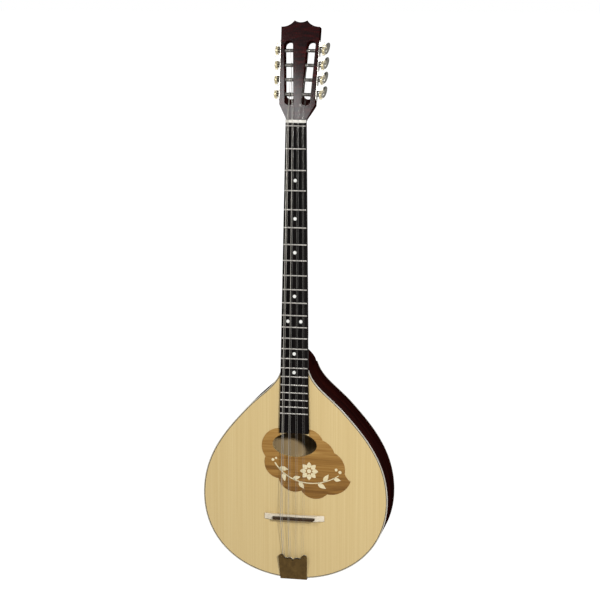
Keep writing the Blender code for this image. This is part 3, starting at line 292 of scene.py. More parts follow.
def plate(loops, low, high, edge=0.0, place=Matrix(), steps=3):
    """A plate from low to high along +Y with rounded edges, from loops of (x, z), the outer one first."""
    work = bmesh.new()
    levels = [(0.0, low), (0.0, high)]
    if edge:
        turns = [pi / 2 * i / steps for i in range(steps + 1)]
        levels = [(edge * (1 - sin(a)), low + edge * (1 - cos(a))) for a in turns]
        levels += [(edge * (1 - sin(a)), high - edge * (1 - cos(a))) for a in reversed(turns)]
    fronts, backs = [], []
    for number, loop in enumerate(loops):
        around = list(zip(loop, loop[1:] + loop[:1]))
        area = sum(a[0] * b[1] - b[0] * a[1] for a, b in around)
        if (area < 0) == (number == 0):
            loop = loop[::-1]
        inwards = []
        for before, here, after in zip(loop[-1:] + loop[:-1], loop, loop[1:] + loop[:1]):
            a = (Vector(here) - Vector(before)).normalized()
            b = (Vector(after) - Vector(here)).normalized()
            middle = Vector((-a.y - b.y, a.x + b.x))
            middle = middle.normalized() if middle.length > 0.01 else Vector((-a.y, a.x))
            inwards.append(middle / max(middle.dot(Vector((-b.y, b.x))), 0.45))
        rings = [
            [work.verts.new((x + inset * n.x, y, z + inset * n.y)) for (x, z), n in zip(loop, inwards)]
            for inset, y in levels
        ]
        for ring, following in zip(rings, rings[1:]):
            for i in range(len(loop)):
                j = (i + 1) % len(loop)
                work.faces.new((ring[i], following[i], following[j], ring[j]))
        fronts += [work.edges.get((a, b)) for a, b in zip(rings[0], rings[0][1:] + rings[0][:1])]
        backs += [work.edges.get((a, b)) for a, b in zip(rings[-1], rings[-1][1:] + rings[-1][:1])]
    for edges in (fronts, backs):
        bmesh.ops.triangle_fill(work, use_beauty=True, use_dissolve=False, edges=edges)
    rims = set(fronts + backs)
    bmesh.ops.recalc_face_normals(work, faces=work.faces)
    for face in work.faces:
        face.smooth = True
    for line in work.edges:
        if line in rims or line.calc_face_angle(0) > radians(35):
            line.smooth = False
    mesh = bpy.data.meshes.new("plate")
    work.to_mesh(mesh)
    work.free()
    mesh.transform(place)
    return mesh


def material(name, roughness, **sockets):
    """A material, its shader, and a tap on the Object coordinates that its pattern reads."""
    made = bpy.data.materials.new(name)
    made.use_nodes = True
    tree = made.node_tree
    shader = tree.nodes["Principled BSDF"]
    shader.inputs["Roughness"].default_value = roughness
    for socket, value in sockets.items():
        shader.inputs[socket.replace("_", " ")].default_value = value
    return made, shader, Tap(tree, tree.nodes.new("ShaderNodeTexCoord").outputs["Object"])


def streaks(place, scale, detail=3.0, distortion=0.0, turn=(0.0, 0.0, 0.0)):
    """Noise drawn out along the axes with the smaller scales, as grain is."""
    drawn = place.node("ShaderNodeMapping", {"Vector": place, "Scale": scale, "Rotation": turn})
    return place.node(
        "ShaderNodeTexNoise",
        {"Vector": drawn, "Scale": 1.0, "Detail": detail, "Roughness": 0.55, "Distortion": distortion},
    )


def coloured(mask, stops):
    """A colour from a mask, by stops of a place from 0 to 1 and a colour on screen."""
    return mask.node("ShaderNodeValToRGB", {"Fac": mask}, stops=[(at, srgb(*colour)) for at, colour in stops])


def bumped(mask, strength, distance):
    return mask.node("ShaderNodeBump", {"Height": mask, "Strength": strength, "Distance": distance})


def spruce(name, stops, roughness, coat):
    """Straight-grained softwood: fine dark winter lines on broader bands, running along Z."""
    made, shader, place = material(
        name, roughness, Specular_IOR_Level=0.3, Coat_Weight=coat, Coat_Roughness=0.15
    )
    lines = streaks(place, (820, 60, 4), 2.0)
    bands = streaks(place, (85, 12, 1.3), 2.0, 0.3)
    silk = streaks(place, (240, 60, 900), 1.0)
    coloured(lines * 0.7 + bands * 0.2 + silk * 0.1, stops).into(shader, "Base Color")
    (roughness + (lines - 0.5) * 0.15).into(shader, "Roughness")
    bumped(lines, 0.18, 0.05 * MM).into(shader, "Normal")
    return made


def piece(name, mesh, finish):
    """An object at the origin with its place in its mesh."""
    mesh.name = name
    mesh.materials.clear()
    mesh.materials.append(finish)
    return linked(name, mesh)


TOP_SPRUCE = spruce("lacquered_spruce", SPRUCE_STOPS, 0.38, 0.12)
hole = ellipse((0, HOLE_Z), HOLE_HALF, 96)
top_edge = whole_outline(BINDING_WIDTH + PURFLING_WIDTH + 2 * GLUE_LINE)
top_mesh = plate([top_edge, hole], depth(0), depth(TOP_THICKNESS), 0.25 * MM)
soundboard = piece("soundboard_top", top_mesh, TOP_SPRUCE)
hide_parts("soundboard")
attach(soundboard, "instrument")


# Inside the body: linings glued along the rims, neck and tail blocks, and three braces under each plate,
# all of plain unvarnished spruce. Only what the sound hole shows of them is ever seen.

# Painted shade: the inside spruce is coloured much darker than the top's spruce, for the shade inside the
# body.
INSIDE_SHADED_STOPS = [(0.3, (92, 66, 42)), (0.5, (114, 88, 58)), (0.7, (134, 108, 74))]
INSIDE_SHADED_SPRUCE = spruce("bare_spruce_painted_shade", INSIDE_SHADED_STOPS, 0.62, 0.0)
for name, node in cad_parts.items():
    if "lining" in name or "brace" in name or name.endswith("_block"):
        node.data.materials.clear()
        node.data.materials.append(INSIDE_SHADED_SPRUCE)


# The rims: two strips of dark mahogany bent round the body, meeting at the tail under the tailpiece and
# running up to the neck joint. High-gloss lacquer over a near-black stain.

BODY_DEPTH = 82 * MM
BINDING_DEPTH = 3.4 * MM
RIM_THICKNESS = 2.3 * MM
MAHOGANY_STOPS = [(0.35, (18, 5, 4)), (0.55, (46, 13, 10)), (0.75, (78, 26, 18))]


def mahogany(name, stops, along, figure, gloss=0.6, polish=0.16):
    """Dark stained wood under a gloss coat, its pores drawn out along one axis."""
    made, shader, place = material(name, 0.42, Specular_IOR_Level=0.0, Coat_Roughness=polish)
    pores = streaks(place, tuple(16 if axis == along else 900 for axis in "XYZ"), 2.0)
    ribbon = streaks(place, figure, 3.0, 0.6)
    coloured(pores * 0.35 + ribbon * 0.65, stops).into(shader, "Base Color")
    facing = place.node("ShaderNodeLayerWeight", {"Blend": 0.5}, output=1)
    ((1 - facing) ** 4.0 * gloss).into(shader, "Coat Weight")
    bumped(pores, 0.06, 0.03 * MM).into(shader, "Normal")
    return made


RIM_MAHOGANY = mahogany("rim_mahogany", MAHOGANY_STOPS, "", (9, 130, 9))
seam = 0.06 * MM
right_rim = run(0)
right_rim[0] = (seam, right_rim[0][1])
inner = run(RIM_THICKNESS)
inner[0] = (seam, inner[0][1])
rim_low, rim_high = depth(BINDING_DEPTH + 0.03 * MM), depth(BODY_DEPTH - BINDING_DEPTH - 0.03 * MM)
for side, word in ((1, "treble"), (-1, "bass")):
    loop = right_rim + inner[::-1]
    loop = loop if side > 0 else mirrored(loop)
    rim = piece(f"bent_rim_{word}", plate([loop], rim_low, rim_high, 0.05 * MM), RIM_MAHOGANY)
    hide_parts(f"rim_{word}")
    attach(rim, "instrument")


# The back: a flat plate of the same mahogany, stained a little lighter and let into its own binding. It is
# faced inside with a pale veneer that shows through the sound hole.

BACK_THICKNESS = 3 * MM
PLY_THICKNESS = 0.24 * MM
BACK_STOPS = [(0.35, (26, 8, 6)), (0.55, (60, 19, 13)), (0.75, (94, 35, 22))]
BACK_MAHOGANY = mahogany("back_mahogany", BACK_STOPS, "Z", (60, 40, 2.5), 0.3)
back_edge = whole_outline(BINDING_WIDTH + 2 * GLUE_LINE)
back_mesh = plate([back_edge], depth(BODY_DEPTH - BACK_THICKNESS), depth(BODY_DEPTH), 0.15 * MM)
back_plate = piece("flat_back", back_mesh, BACK_MAHOGANY)
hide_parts("back_plate")
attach(back_plate, "instrument")


def clouded(name, roughness, scale, dark, light, detail=3.0, distortion=0.0, **sockets):
    """A material that shades from dark to light in one soft pattern, its shader and the pattern."""
    made, shader, place = material(name, roughness, **sockets)
    cloud = streaks(place, scale, detail, distortion)
    coloured(cloud, [(0.3, dark), (0.7, light)]).into(shader, "Base Color")
    return made, shader, cloud


ply_finish = clouded(
    "bare_inner_ply", 0.7, (500, 40, 5), (170, 144, 104), (190, 166, 124), 2.0, Specular_IOR_Level=0.1
)[0]
ply_edge = whole_outline(RIM_THICKNESS + 0.1 * MM)
ply_face = depth(BODY_DEPTH - BACK_THICKNESS - GLUE_LINE)
inner_ply = piece("back_inner_ply", plate([ply_edge], ply_face - PLY_THICKNESS, ply_face), ply_finish)
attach(inner_ply, "instrument")


# The bindings: 1.5 mm strips of grey-white celluloid glued into a rebate round the front and back edges, and
# inside the front one the dark purfling strip.

PURFLING_DEPTH = 2 * MM
binding_finish = clouded(
    "celluloid_binding", 0.3, (60, 60, 60), (176, 168, 150), (194, 186, 168),
    Coat_Weight=0.3, Coat_Roughness=0.1,
)[0]
purfling_finish = clouded(
    "dyed_purfling", 0.45, (400, 100, 400), (24, 20, 18), (48, 40, 34), 2.0, Specular_IOR_Level=0.2
)[0]


def ring(outer, inner, low, high, edge):
    """A band round the whole body between two insets, closed across the neck joint."""
    return plate([whole_outline(outer), whole_outline(inner)], low, high, edge)


for word, low, high in (
    ("top", depth(0), depth(BINDING_DEPTH)),
    ("back", depth(BODY_DEPTH - BINDING_DEPTH), depth(BODY_DEPTH)),
):
    band = piece(f"{word}_edge_binding", ring(0, BINDING_WIDTH, low, high, 0.35 * MM), binding_finish)
    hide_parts(f"{word}_binding")
    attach(band, "instrument")
purfling_outer, purfling_inner = BINDING_WIDTH + GLUE_LINE, BINDING_WIDTH + PURFLING_WIDTH
purfling_strip = ring(purfling_outer, purfling_inner, depth(GLUE_LINE), depth(PURFLING_DEPTH), 0)
purfling = piece("top_purfling", purfling_strip, purfling_finish)
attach(purfling, "instrument")


# The guard: a thin scalloped sheet of walnut glued on the soundboard round the lower half of the sound hole,
# its grain lying across the body. A spray of leaves and berries with one daisy is let into it in pale maple.

GUARD_TOP = 1.2 * MM  # above the soundboard
BOARD_END_HALF = 24.9 * MM
GUARD_START = (-BOARD_END_HALF / MM - 0.3, 27.7)
GUARD_SCALLOPS = [
    ((-50.0, 16.0), (-50.6, -22.5)),
    ((-46.3, -49.2), (-27.7, -59.7)),
    ((-13.5, -78.3), (11.8, -79.4)),
    ((33.0, -92.3), (56.3, -83.3)),
    ((82.5, -77.5), (96.0, -59.4)),
    ((90.2, -54.2), (86.0, -46.3)),
    ((83.3, -26.6), (68.0, -11.3)),
    ((58.7, 3.1), (48.1, 9.3)),
    ((41.0, 19.8), (BOARD_END_HALF / MM + 0.3, 27.7)),
]


def arc(start, bulge, end, steps):
    """Points after start on the arc that passes through the bulge to the end."""
    (ax, ay), (bx, by), (cx, cy) = start, bulge, end
    d = 2 * (ax * (by - cy) + bx * (cy - ay) + cx * (ay - by))
    a, b, c = ax**2 + ay**2, bx**2 + by**2, cx**2 + cy**2
    ux = (a * (by - cy) + b * (cy - ay) + c * (ay - by)) / d
    uy = (a * (cx - bx) + b * (ax - cx) + c * (bx - ax)) / d
    radius = hypot(ax - ux, ay - uy)
    first, middle, last = (atan2(y - uy, x - ux) for x, y in (start, bulge, end))
    sweep = (last - first) % (2 * pi)
    if (middle - first) % (2 * pi) > sweep:
        sweep -= 2 * pi
    angles = [first + sweep * i / steps for i in range(1, steps + 1)]
    return [(ux + radius * cos(t), uy + radius * sin(t)) for t in angles]


def from_hole(points):
    """Points in millimetres from the sound hole's centre, as places on the body."""
    return [(x * MM, HOLE_Z + z * MM) for x, z in points]


guard_points = [GUARD_START]
for bulge, notch in GUARD_SCALLOPS:
    guard_points += arc(guard_points[-1], bulge, notch, 14)
meet = asin(sqrt(1 - (guard_points[-1][0] * MM / HOLE_HALF[0]) ** 2))
guard_points += ellipse((0, 0), (HOLE_HALF[0] / MM, HOLE_HALF[1] / MM), 60, meet, -(pi + 2 * meet))
guard_finish, guard_shader, place = material(
    "walnut_guard", 0.4, Specular_IOR_Level=0.12, Coat_Weight=0.04, Coat_Roughness=0.15
)
fine = streaks(place, (20, 60, 900), 3.0, 0.4, (0, radians(6), 0))
flow = streaks(place, (7, 10, 120), 3.0, 1.2, (0, radians(6), 0))
height = place.node("ShaderNodeSeparateXYZ", {"Vector": place}, output=2)
# Painted shade: the walnut's colour darkens towards the guard's lower edge, standing in for shading across
# the guard.
painted_shade_gradient = (height - (HOLE_Z - 28 * MM)) * 2.4  # darker towards the lower edge
WALNUT_STOPS = [(0.26, (104, 69, 29)), (0.5, (146, 106, 51)), (0.72, (173, 134, 74))]
coloured(fine * 0.45 + flow * 0.55 + painted_shade_gradient, WALNUT_STOPS).into(guard_shader, "Base Color")
bumped(fine, 0.12, 0.05 * MM).into(guard_shader, "Normal")
guard_mesh = plate([from_hole(guard_points)], depth(-GUARD_TOP), depth(-GLUE_LINE), 0.3 * MM)
guard = piece("walnut_guard", guard_mesh, guard_finish)
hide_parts("guard")
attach(guard, "instrument")

inlay_finish = clouded(
    "maple_inlay", 0.4, (120, 60, 500), (212, 196, 154), (230, 218, 182), 2.0, 0.5, Specular_IOR_Level=0.25
)[0]


def geometry_tree(name, **inputs):
    """An empty geometry tree with named inputs, and a tap on each of them."""
    tree = bpy.data.node_groups.new(name, "GeometryNodeTree")
    for label, kind in {"Start": "Geometry", "Finish": "Material", **inputs}.items():
        tree.interface.new_socket(label, in_out="INPUT", socket_type=f"NodeSocket{kind}")
    tree.interface.new_socket("Made", in_out="OUTPUT", socket_type="NodeSocketGeometry")
    source = tree.nodes.new("NodeGroupInput")
    return tree, {label: Tap(tree, source.outputs[label]) for label in ("Start", "Finish", *inputs)}


def end_tree(tree, shape, finish):
    real = shape.node("GeometryNodeRealizeInstances", {"Geometry": shape})
    done = shape.node("GeometryNodeSetMaterial", {"Geometry": real, "Material": finish})
    done.into(tree.nodes.new("NodeGroupOutput"), "Made")


def settled(holder, name, place=Matrix(), turn=35):
    """The object's shape with its modifiers, as a finished mesh. The object goes."""
    bpy.context.view_layer.update()
    work = bmesh.new()
    shaped = holder.evaluated_get(bpy.context.evaluated_depsgraph_get())
    work.from_mesh(bpy.data.meshes.new_from_object(shaped))
    bpy.data.objects.remove(holder)
    return close_up(work, name, place, turn)


def grown(tree, start, finish, place=Matrix(), **sizes):
    """The mesh that a geometry tree makes from a starting mesh and its sizes."""
    holder = linked("grown", start or bpy.data.meshes.new("nothing"))
    step = holder.modifiers.new("grow", "NODES")
    step.node_group = tree
    values = {"Finish": finish, **sizes}
    for item in tree.interface.items_tree:
        if item.in_out == "INPUT" and item.name in values:
            step[item.identifier] = values[item.name]
    return settled(holder, "grown", place)


# Copies of one shape, turned evenly about the origin's Y axis
turned_copies, taps = geometry_tree("turned_copies", Count="Int")
points = taps["Count"].node("GeometryNodePoints", {"Count": taps["Count"]})
index = points.node("GeometryNodeInputIndex", {})
angles = points.node("ShaderNodeCombineXYZ", {"Y": index * (2 * pi) / taps["Count"]})
copies = points.node(
    "GeometryNodeInstanceOnPoints", {"Points": points, "Instance": taps["Start"], "Rotation": angles}
)
end_tree(turned_copies, copies, taps["Finish"])


def leaf(length, width, bend):
    """A pointed leaf along +X from the origin, its middle line bent."""
    sides = []
    for i in range(13):
        t = i / 12
        across = width / 2 * sin(pi * t**0.8) ** 1.15
        sides.append((length * t, bend * t * t, across))
    upper = [(x, z + across) for x, z, across in sides]
    lower = [(x, z - across) for x, z, across in sides[1:-1]]
    return upper + lower[::-1]


def circle(centre, radius, count, start=0.0, sweep=2 * pi):
    return ellipse(centre, (radius, radius), count, start, sweep)


def turned_to(points, angle, centre):
    c, s = cos(angle), sin(angle)
    return [(centre[0] + x * c - z * s, centre[1] + x * s + z * c) for x, z in points]


inlay_low, inlay_high = depth(-GUARD_TOP - 0.05 * MM), depth(-GUARD_TOP + 0.3 * MM)
STEM = [Vector(p) for p in ((-34, -32), (-14, -66), (34, -78), (76, -50))]
LEAVES = (  # place along the stem, side, length and width
    (0.10, 1, 17, 8.0), (0.20, -1, 15, 7.4), (0.36, 1, 14, 6.8), (0.46, -1, 15, 7.4), (0.72, -1, 17, 8.0),
    (0.80, 1, 16, 7.6), (0.93, -1, 13, 6.4),
)
LEAF_ANGLE = radians(48)
BERRIES = (((78, -44), 2.7), ((71.5, -40), 2.4), ((-37.5, -27.5), 2.5), ((-32, -24.5), 2.0))
stem = [bezier(*STEM, i / SPAN_STEPS) for i in range(SPAN_STEPS + 1)]
stem_sides = []
for i, here in enumerate(stem):
    along = (stem[min(i + 1, SPAN_STEPS)] - stem[max(i - 1, 0)]).normalized()
    aside = Vector((-along.y, along.x)) * (1.0 - 0.35 * i / SPAN_STEPS)
    stem_sides.append((here + aside, here - aside))
inlay_loops = [[tuple(a) for a, b in stem_sides] + [tuple(b) for a, b in reversed(stem_sides)]]
for place_on, side, length, width in LEAVES:
    here = bezier(*STEM, place_on)
    along = bezier(*STEM, min(place_on + 0.02, 1)) - bezier(*STEM, max(place_on - 0.02, 0))
    angle = atan2(along.y, along.x) + side * LEAF_ANGLE
    inlay_loops.append(turned_to(leaf(length, width, -side * 1.6), angle, tuple(here)))
for centre, radius in BERRIES:
    inlay_loops.append(circle(centre, radius, 24))
for number, loop in enumerate(inlay_loops):
    chip = piece(f"inlay_spray_{number}", plate([from_hole(loop)], inlay_low, inlay_high), inlay_finish)
    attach(chip, "instrument")

DAISY = (25.0, -44.5)
PETALS = 8
PETAL_FOOT, PETAL_TIP = 4.8, 15.6
EYE_RADIUS = 3.7
petal = [(min(x + PETAL_FOOT, PETAL_TIP) * MM, z * MM) for x, z in leaf(11.6, 7.9, 0)]
petal_mesh = plate([petal], 0, inlay_high - inlay_low)
at_daisy = Matrix.Translation((DAISY[0] * MM, inlay_low, HOLE_Z + DAISY[1] * MM))
petals = grown(turned_copies, petal_mesh, inlay_finish, at_daisy, Count=PETALS)
daisy = piece("inlay_daisy", petals, inlay_finish)
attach(daisy, "instrument")
eye_mesh = plate([from_hole(circle(DAISY, EYE_RADIUS, 32))], inlay_low, inlay_high)
eye = piece("inlay_daisy_eye", eye_mesh, inlay_finish)
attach(eye, "instrument")


# The neck: one piece of dark mahogany with its heel, its tenon in the neck block and its slotted head, bent
# back 12 degrees. A steel bar lies in a groove under the fretboard.

FRETS = 22
NECK_THICKNESS = 16 * MM
FRETBOARD_TOP = 6.0 * MM  # above the neck's front
BOARD_WIDTH = 34.3 * MM  # at the zero fret
BOARD_WIDENING = 14.9 * MM  # as far as the last fret
HEEL_LENGTH = 60 * MM
HEEL_CAP_LENGTH = 20 * MM
HEEL_CAP_WIDTH = 46 * MM
HEEL_TIP_SHARE = 0.45
HEAD_THICKNESS = 19 * MM
VENEER_THICKNESS = 1.5 * MM
FLARE_LENGTH = 25 * MM
FLARE_HALF = 29.9 * MM
HEAD_TILT = radians(12)
HEAD_DROP = 5 * MM  # from the board's face to the head's
HEAD_TAPER = radians(1.15)
POSTS_A_SIDE = 4
POST_PITCH = 24.4 * MM
FIRST_POST = 42.3 * MM
SLOT_MIDDLE = 14.6 * MM  # at the first post
SLOT_SPREAD = radians(3.1)
SLOT_HALF = 7.4 * MM
SLOT_LOW = FIRST_POST - 20.6 * MM
SLOT_HIGH = FIRST_POST + (POSTS_A_SIDE - 1) * POST_PITCH + 15.4 * MM
SLOT_RAMP = 15 * MM
HEAD_CORNER = SLOT_HIGH + 23.5 * MM
CROWN_PEAK = (10.6 * MM, HEAD_CORNER + 10.5 * MM)
POST_DEPTH = 7.5 * MM
POST_RADIUS = 3.0 * MM
BAR_LENGTH = 350 * MM
TENON_HALF, TENON_LENGTH = 9 * MM, 18 * MM
TENON_FRONT, TENON_BACK = 8 * MM, 68 * MM
BACK_Y = depth(BODY_DEPTH)
NECK_STEPS = 40


def board_half_width(z):
    from_zero = (ZERO_FRET_Z - z) / cos(NECK_ANGLE)
    return (BOARD_WIDTH + BOARD_WIDENING * from_zero / from_zero_fret(FRETS)) / 2


def neck_front(z):
    return SOUNDBOARD_Y + (z - JOINT_Z) * tan(NECK_ANGLE)


def board_top(z):
    return neck_front(z) - FRETBOARD_TOP


def tipped(x, y, z, angle):
    """A place turned about X."""
    return Matrix.Translation((x, y, z)) @ Matrix.Rotation(angle, 4, "X")


NECK_END_Z = ZERO_FRET_Z + 10.2 * MM
HEAD_FRAME = tipped(0, board_top(NECK_END_Z) + HEAD_DROP, NECK_END_Z, -NECK_ANGLE - HEAD_TILT)


def head_half_width(along):
    if along < FLARE_LENGTH:
        foot = board_half_width(NECK_END_Z)
        return foot + (FLARE_HALF - foot) * along / FLARE_LENGTH
    return FLARE_HALF + (along - FLARE_LENGTH) * tan(HEAD_TAPER)


def crown():
    """The head's top line from the right corner to the left, three shallow scoops."""
    corner = (head_half_width(HEAD_CORNER), HEAD_CORNER)
    sag = ((corner[0] + CROWN_PEAK[0]) / 2, (corner[1] + CROWN_PEAK[1]) / 2 - 3.4 * MM)
    side = [corner, *arc(corner, sag, CROWN_PEAK, 14)]
    middle = arc(CROWN_PEAK, (0, CROWN_PEAK[1] - 3.2 * MM), (-CROWN_PEAK[0], CROWN_PEAK[1]), 14)
    return side + middle[:-1] + mirrored(side)


def slot_loop(side, raised=0.0):
    """One long string slot with round ends, its lower end moved up."""
    ends = []
    for along, first in ((SLOT_LOW + raised + SLOT_HALF, pi), (SLOT_HIGH - SLOT_HALF, 0.0)):
        middle = SLOT_MIDDLE + (along - FIRST_POST) * tan(SLOT_SPREAD)
        ends += circle((middle, along), SLOT_HALF, 17, first, pi)
    return ends if side > 0 else mirrored(ends)


def neck_section(half_front, half_back, thick, squareness, front, to_point):
    """A section that is flat in front and rounded behind."""
    points = []
    for i in range(NECK_STEPS + 1):
        angle = pi * i / NECK_STEPS
        away = sin(angle) ** (2 / squareness) if 0 < i < NECK_STEPS else 0.0
        across = abs(cos(angle)) ** (2 / squareness) * (1 if angle < pi / 2 else -1)
        half = half_front + (half_back - half_front) * away
        points.append(to_point(half * across, front + thick * away))
    return points


def loft(rings, name, place=Matrix(), turn=35):
    """A closed solid through rings of points that run the same way round."""
    work = bmesh.new()
    made = [[work.verts.new(point) for point in ring] for ring in rings]
    count = len(rings[0])
    for ring_of, following in zip(made, made[1:]):
        for i in range(count):
            j = (i + 1) % count
            work.faces.new((ring_of[i], ring_of[j], following[j], following[i]))
    work.faces.new(made[0])
    work.faces.new(made[-1])
    return close_up(work, name, place, turn)


def block(low, high, place=Matrix()):
    """A plain block, for cutting or joining."""
    (a, b, c), (d, e, f) = low, high
    return loft([[(a, b, z), (d, b, z), (d, e, z), (a, e, z)] for z in (c, f)], "block", place)


def joined(mesh, changes, bevel=0.0):
    """A mesh with others joined to it or cut out of it, and a small bevel on its sharp edges."""
    holder = linked("body", mesh)
    tools = []
    for operation, other in changes:
        tool = linked("tool", other)
        step = holder.modifiers.new("join", "BOOLEAN")
        step.operation, step.object = operation, tool
        tools.append(tool)
    if bevel:
        step = holder.modifiers.new("soften", "BEVEL")
        step.width, step.segments, step.limit_method, step.angle_limit = bevel, 2, "ANGLE", radians(50)
    mesh = settled(holder, "joined")
    for tool in tools:
        bpy.data.objects.remove(tool)
    return mesh


def rod(radius, start, end, place=Matrix(), sides=32):
    start, end = Vector(start), Vector(end)
    turn = (end - start).to_track_quat("Z", "Y").to_matrix().to_4x4()
    length = (end - start).length
    around = circle((0, 0), radius, sides)
    rings = [[(x, y, z) for x, y in around] for z in (0, length)]
    return loft(rings, "rod", place @ Matrix.Translation(start) @ turn)


sections = []
cap, fall_length = HEEL_CAP_LENGTH, HEEL_LENGTH - HEEL_CAP_LENGTH
for up in [cap * i / 8 for i in range(9)] + [cap + fall_length * (i / 18) ** 1.3 for i in range(1, 18)]:
    z = JOINT_Z + GLUE_LINE + up
    front, half = neck_front(z), board_half_width(z)
    if up <= cap:
        thick = BACK_Y - front
        back_half = HEEL_CAP_WIDTH / 2 * (1 - (1 - HEEL_TIP_SHARE) * (up / cap) ** 1.8)
        square = 14 - 8 * up / cap
    else:
        fall = 1 - (up - cap) / fall_length
        thick = NECK_THICKNESS + (BACK_Y - front - NECK_THICKNESS) * fall**2.6
        back_half = HEEL_CAP_WIDTH / 2 * HEEL_TIP_SHARE * fall + half * (1 - fall)
        square = 2.3 + 3.7 * fall**3
    sections.append(neck_section(half, back_half, thick, square, front, lambda x, y, z=z: (x, y, z)))
for share in (i / 8 for i in range(9)):
    z = JOINT_Z + HEEL_LENGTH + (NECK_END_Z - 4 * MM - JOINT_Z - HEEL_LENGTH) * share
    half = board_half_width(z)
    sections.append(neck_section(half, half, NECK_THICKNESS, 2.3, neck_front(z), lambda x, y, z=z: (x, y, z)))
veneer_seat = VENEER_THICKNESS + GLUE_LINE
for along, square in (
    (2 * MM, 3.0), (5 * MM, 3.7), (8.5 * MM, 4.7), (12 * MM, 6.0), (16 * MM, 8), (20.5 * MM, 11),
    (FLARE_LENGTH, 14.0), (HEAD_CORNER + 14 * MM, 14.0),
):
    half = head_half_width(along)
    section = neck_section(
        half, half, HEAD_THICKNESS - veneer_seat, square, veneer_seat, lambda x, y, along=along: (x, y, along)
    )
    sections.append([HEAD_FRAME @ Vector(point) for point in section])

top = HEAD_CORNER + 30 * MM
beyond = head_half_width(top) + 5 * MM
above = crown() + [(-beyond, HEAD_CORNER), (-beyond, top), (beyond, top), (beyond, HEAD_CORNER)]
changes = [("DIFFERENCE", plate([above], -5 * MM, 24 * MM, 0, HEAD_FRAME))]
for side in (-1, 1):
    # Each slot is shorter at the back, where its lower end slopes for the strings
    levels = [(behind, slot_loop(side, SLOT_RAMP * behind / HEAD_THICKNESS)) for behind in (-5 * MM, 24 * MM)]
    rings = [[(x, behind, z) for x, z in loop] for behind, loop in levels]
    changes.append(("DIFFERENCE", loft(rings, "slot", HEAD_FRAME)))
MACHINES = {}
for side, first in ((-1, 1), (1, 1 + POSTS_A_SIDE)):
    for i in range(POSTS_A_SIDE):
        along = FIRST_POST + i * POST_PITCH
        out = Matrix.Translation((side * head_half_width(along), POST_DEPTH, along))
        MACHINES[first + i] = (side, HEAD_FRAME @ out @ Matrix.Rotation(side * HEAD_TAPER, 4, "Y"))
for side, seat in MACHINES.values():
    bore = rod(POST_RADIUS + 0.3 * MM, (side * 2 * MM, 0, 0), (-side * 27.3 * MM, 0, 0), seat)
    changes.append(("DIFFERENCE", bore))
bar_low = JOINT_Z + 12 * MM
bar_seat = tipped(0, neck_front(bar_low), bar_low, -NECK_ANGLE)
groove = block((-3.3 * MM, -2 * MM, -0.3 * MM), (3.3 * MM, 9.6 * MM, BAR_LENGTH + 0.3 * MM), bar_seat)
changes.append(("DIFFERENCE", groove))
tenon_low = (-TENON_HALF, depth(TENON_FRONT), JOINT_Z - TENON_LENGTH)
tenon = block(tenon_low, (TENON_HALF, depth(TENON_BACK), JOINT_Z + 5 * MM))
NECK_MAHOGANY = mahogany("neck_mahogany", MAHOGANY_STOPS, "Z", (80, 60, 7))
neck = piece("carved_neck", joined(loft(sections, "neck"), [("UNION", tenon), *changes]), NECK_MAHOGANY)
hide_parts("neck")
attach(neck, "instrument")

bar_finish = clouded("bar_steel", 0.4, (300, 300, 20), (120, 120, 122), (150, 150, 150), Metallic=1.0)[0]
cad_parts["neck_bar"].data.materials.clear()
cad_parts["neck_bar"].data.materials.append(bar_finish)


# The head veneer: a 1.5 mm face of figured mahogany glued on the head, slotted with it. Its curl crosses the
# head in reddish bands under black stain and gloss lacquer.

VENEER_STOPS = [(0.34, (12, 1, 2)), (0.5, (34, 2, 3)), (0.64, (62, 5, 5)), (0.78, (88, 12, 9))]
veneer_finish = mahogany("curly_veneer", VENEER_STOPS, "Z", (45, 45, 210), 0.18, 0.09)
foot = board_half_width(NECK_END_Z)
lower = [(foot, 0.05 * MM), (head_half_width(FLARE_LENGTH), FLARE_LENGTH)]
face_loops = [lower + crown() + mirrored(lower), slot_loop(-1), slot_loop(1)]
veneer_mesh = plate(face_loops, 0, VENEER_THICKNESS, 0.35 * MM, HEAD_FRAME)
veneer = piece("curly_head_veneer", veneer_mesh, veneer_finish)
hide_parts("head_veneer")
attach(veneer, "instrument")


# The fretboard: a tapered board of near-black rosewood glued on the neck and on over the soundboard to the
# sound hole, with pearl dots let in at frets 3, 5, 7, 10, 15 and 17 and two at 12.

BOARD_START_Z = ZERO_FRET_Z + 5.0 * MM
BOARD_END_Z = JOINT_Z - 107.5 * MM
NECK_PLANE = tipped(0, board_top(ZERO_FRET_Z), ZERO_FRET_Z, -NECK_ANGLE)
rosewood_finish, rosewood_shader, place = material("rosewood_board", 0.45, Specular_IOR_Level=0.02)
pores = streaks(place, (1100, 300, 26), 2.0)
stripe = streaks(place, (110, 60, 3), 3.0, 0.4)
ROSEWOOD_STOPS = [(0.3, (5, 4, 5)), (0.5, (12, 10, 10)), (0.72, (27, 22, 21))]
coloured(pores * 0.45 + stripe * 0.55, ROSEWOOD_STOPS).into(rosewood_shader, "Base Color")
bumped(pores, 0.25, 0.06 * MM).into(rosewood_shader, "Normal")


def board_section(z, bottom):
    """The board's section, with its two top edges eased."""
    half, face, ease = board_half_width(z), board_top(z), 0.5 * MM
    right = [(half, bottom), (half, face + ease), (half - ease * 0.3, face + ease * 0.3), (half - ease, face)]
    return [(x, y, z) for x, y in right + [(-x, y) for x, y in reversed(right)]]


board_rings = [board_section(BOARD_START_Z, neck_front(BOARD_START_Z) - GLUE_LINE)]
board_rings += [board_section(z, depth(-GLUE_LINE)) for z in (JOINT_Z, BOARD_END_Z)]
fretboard = piece("rosewood_fretboard", loft(board_rings, "fretboard"), rosewood_finish)
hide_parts("fretboard")
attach(fretboard, "instrument")

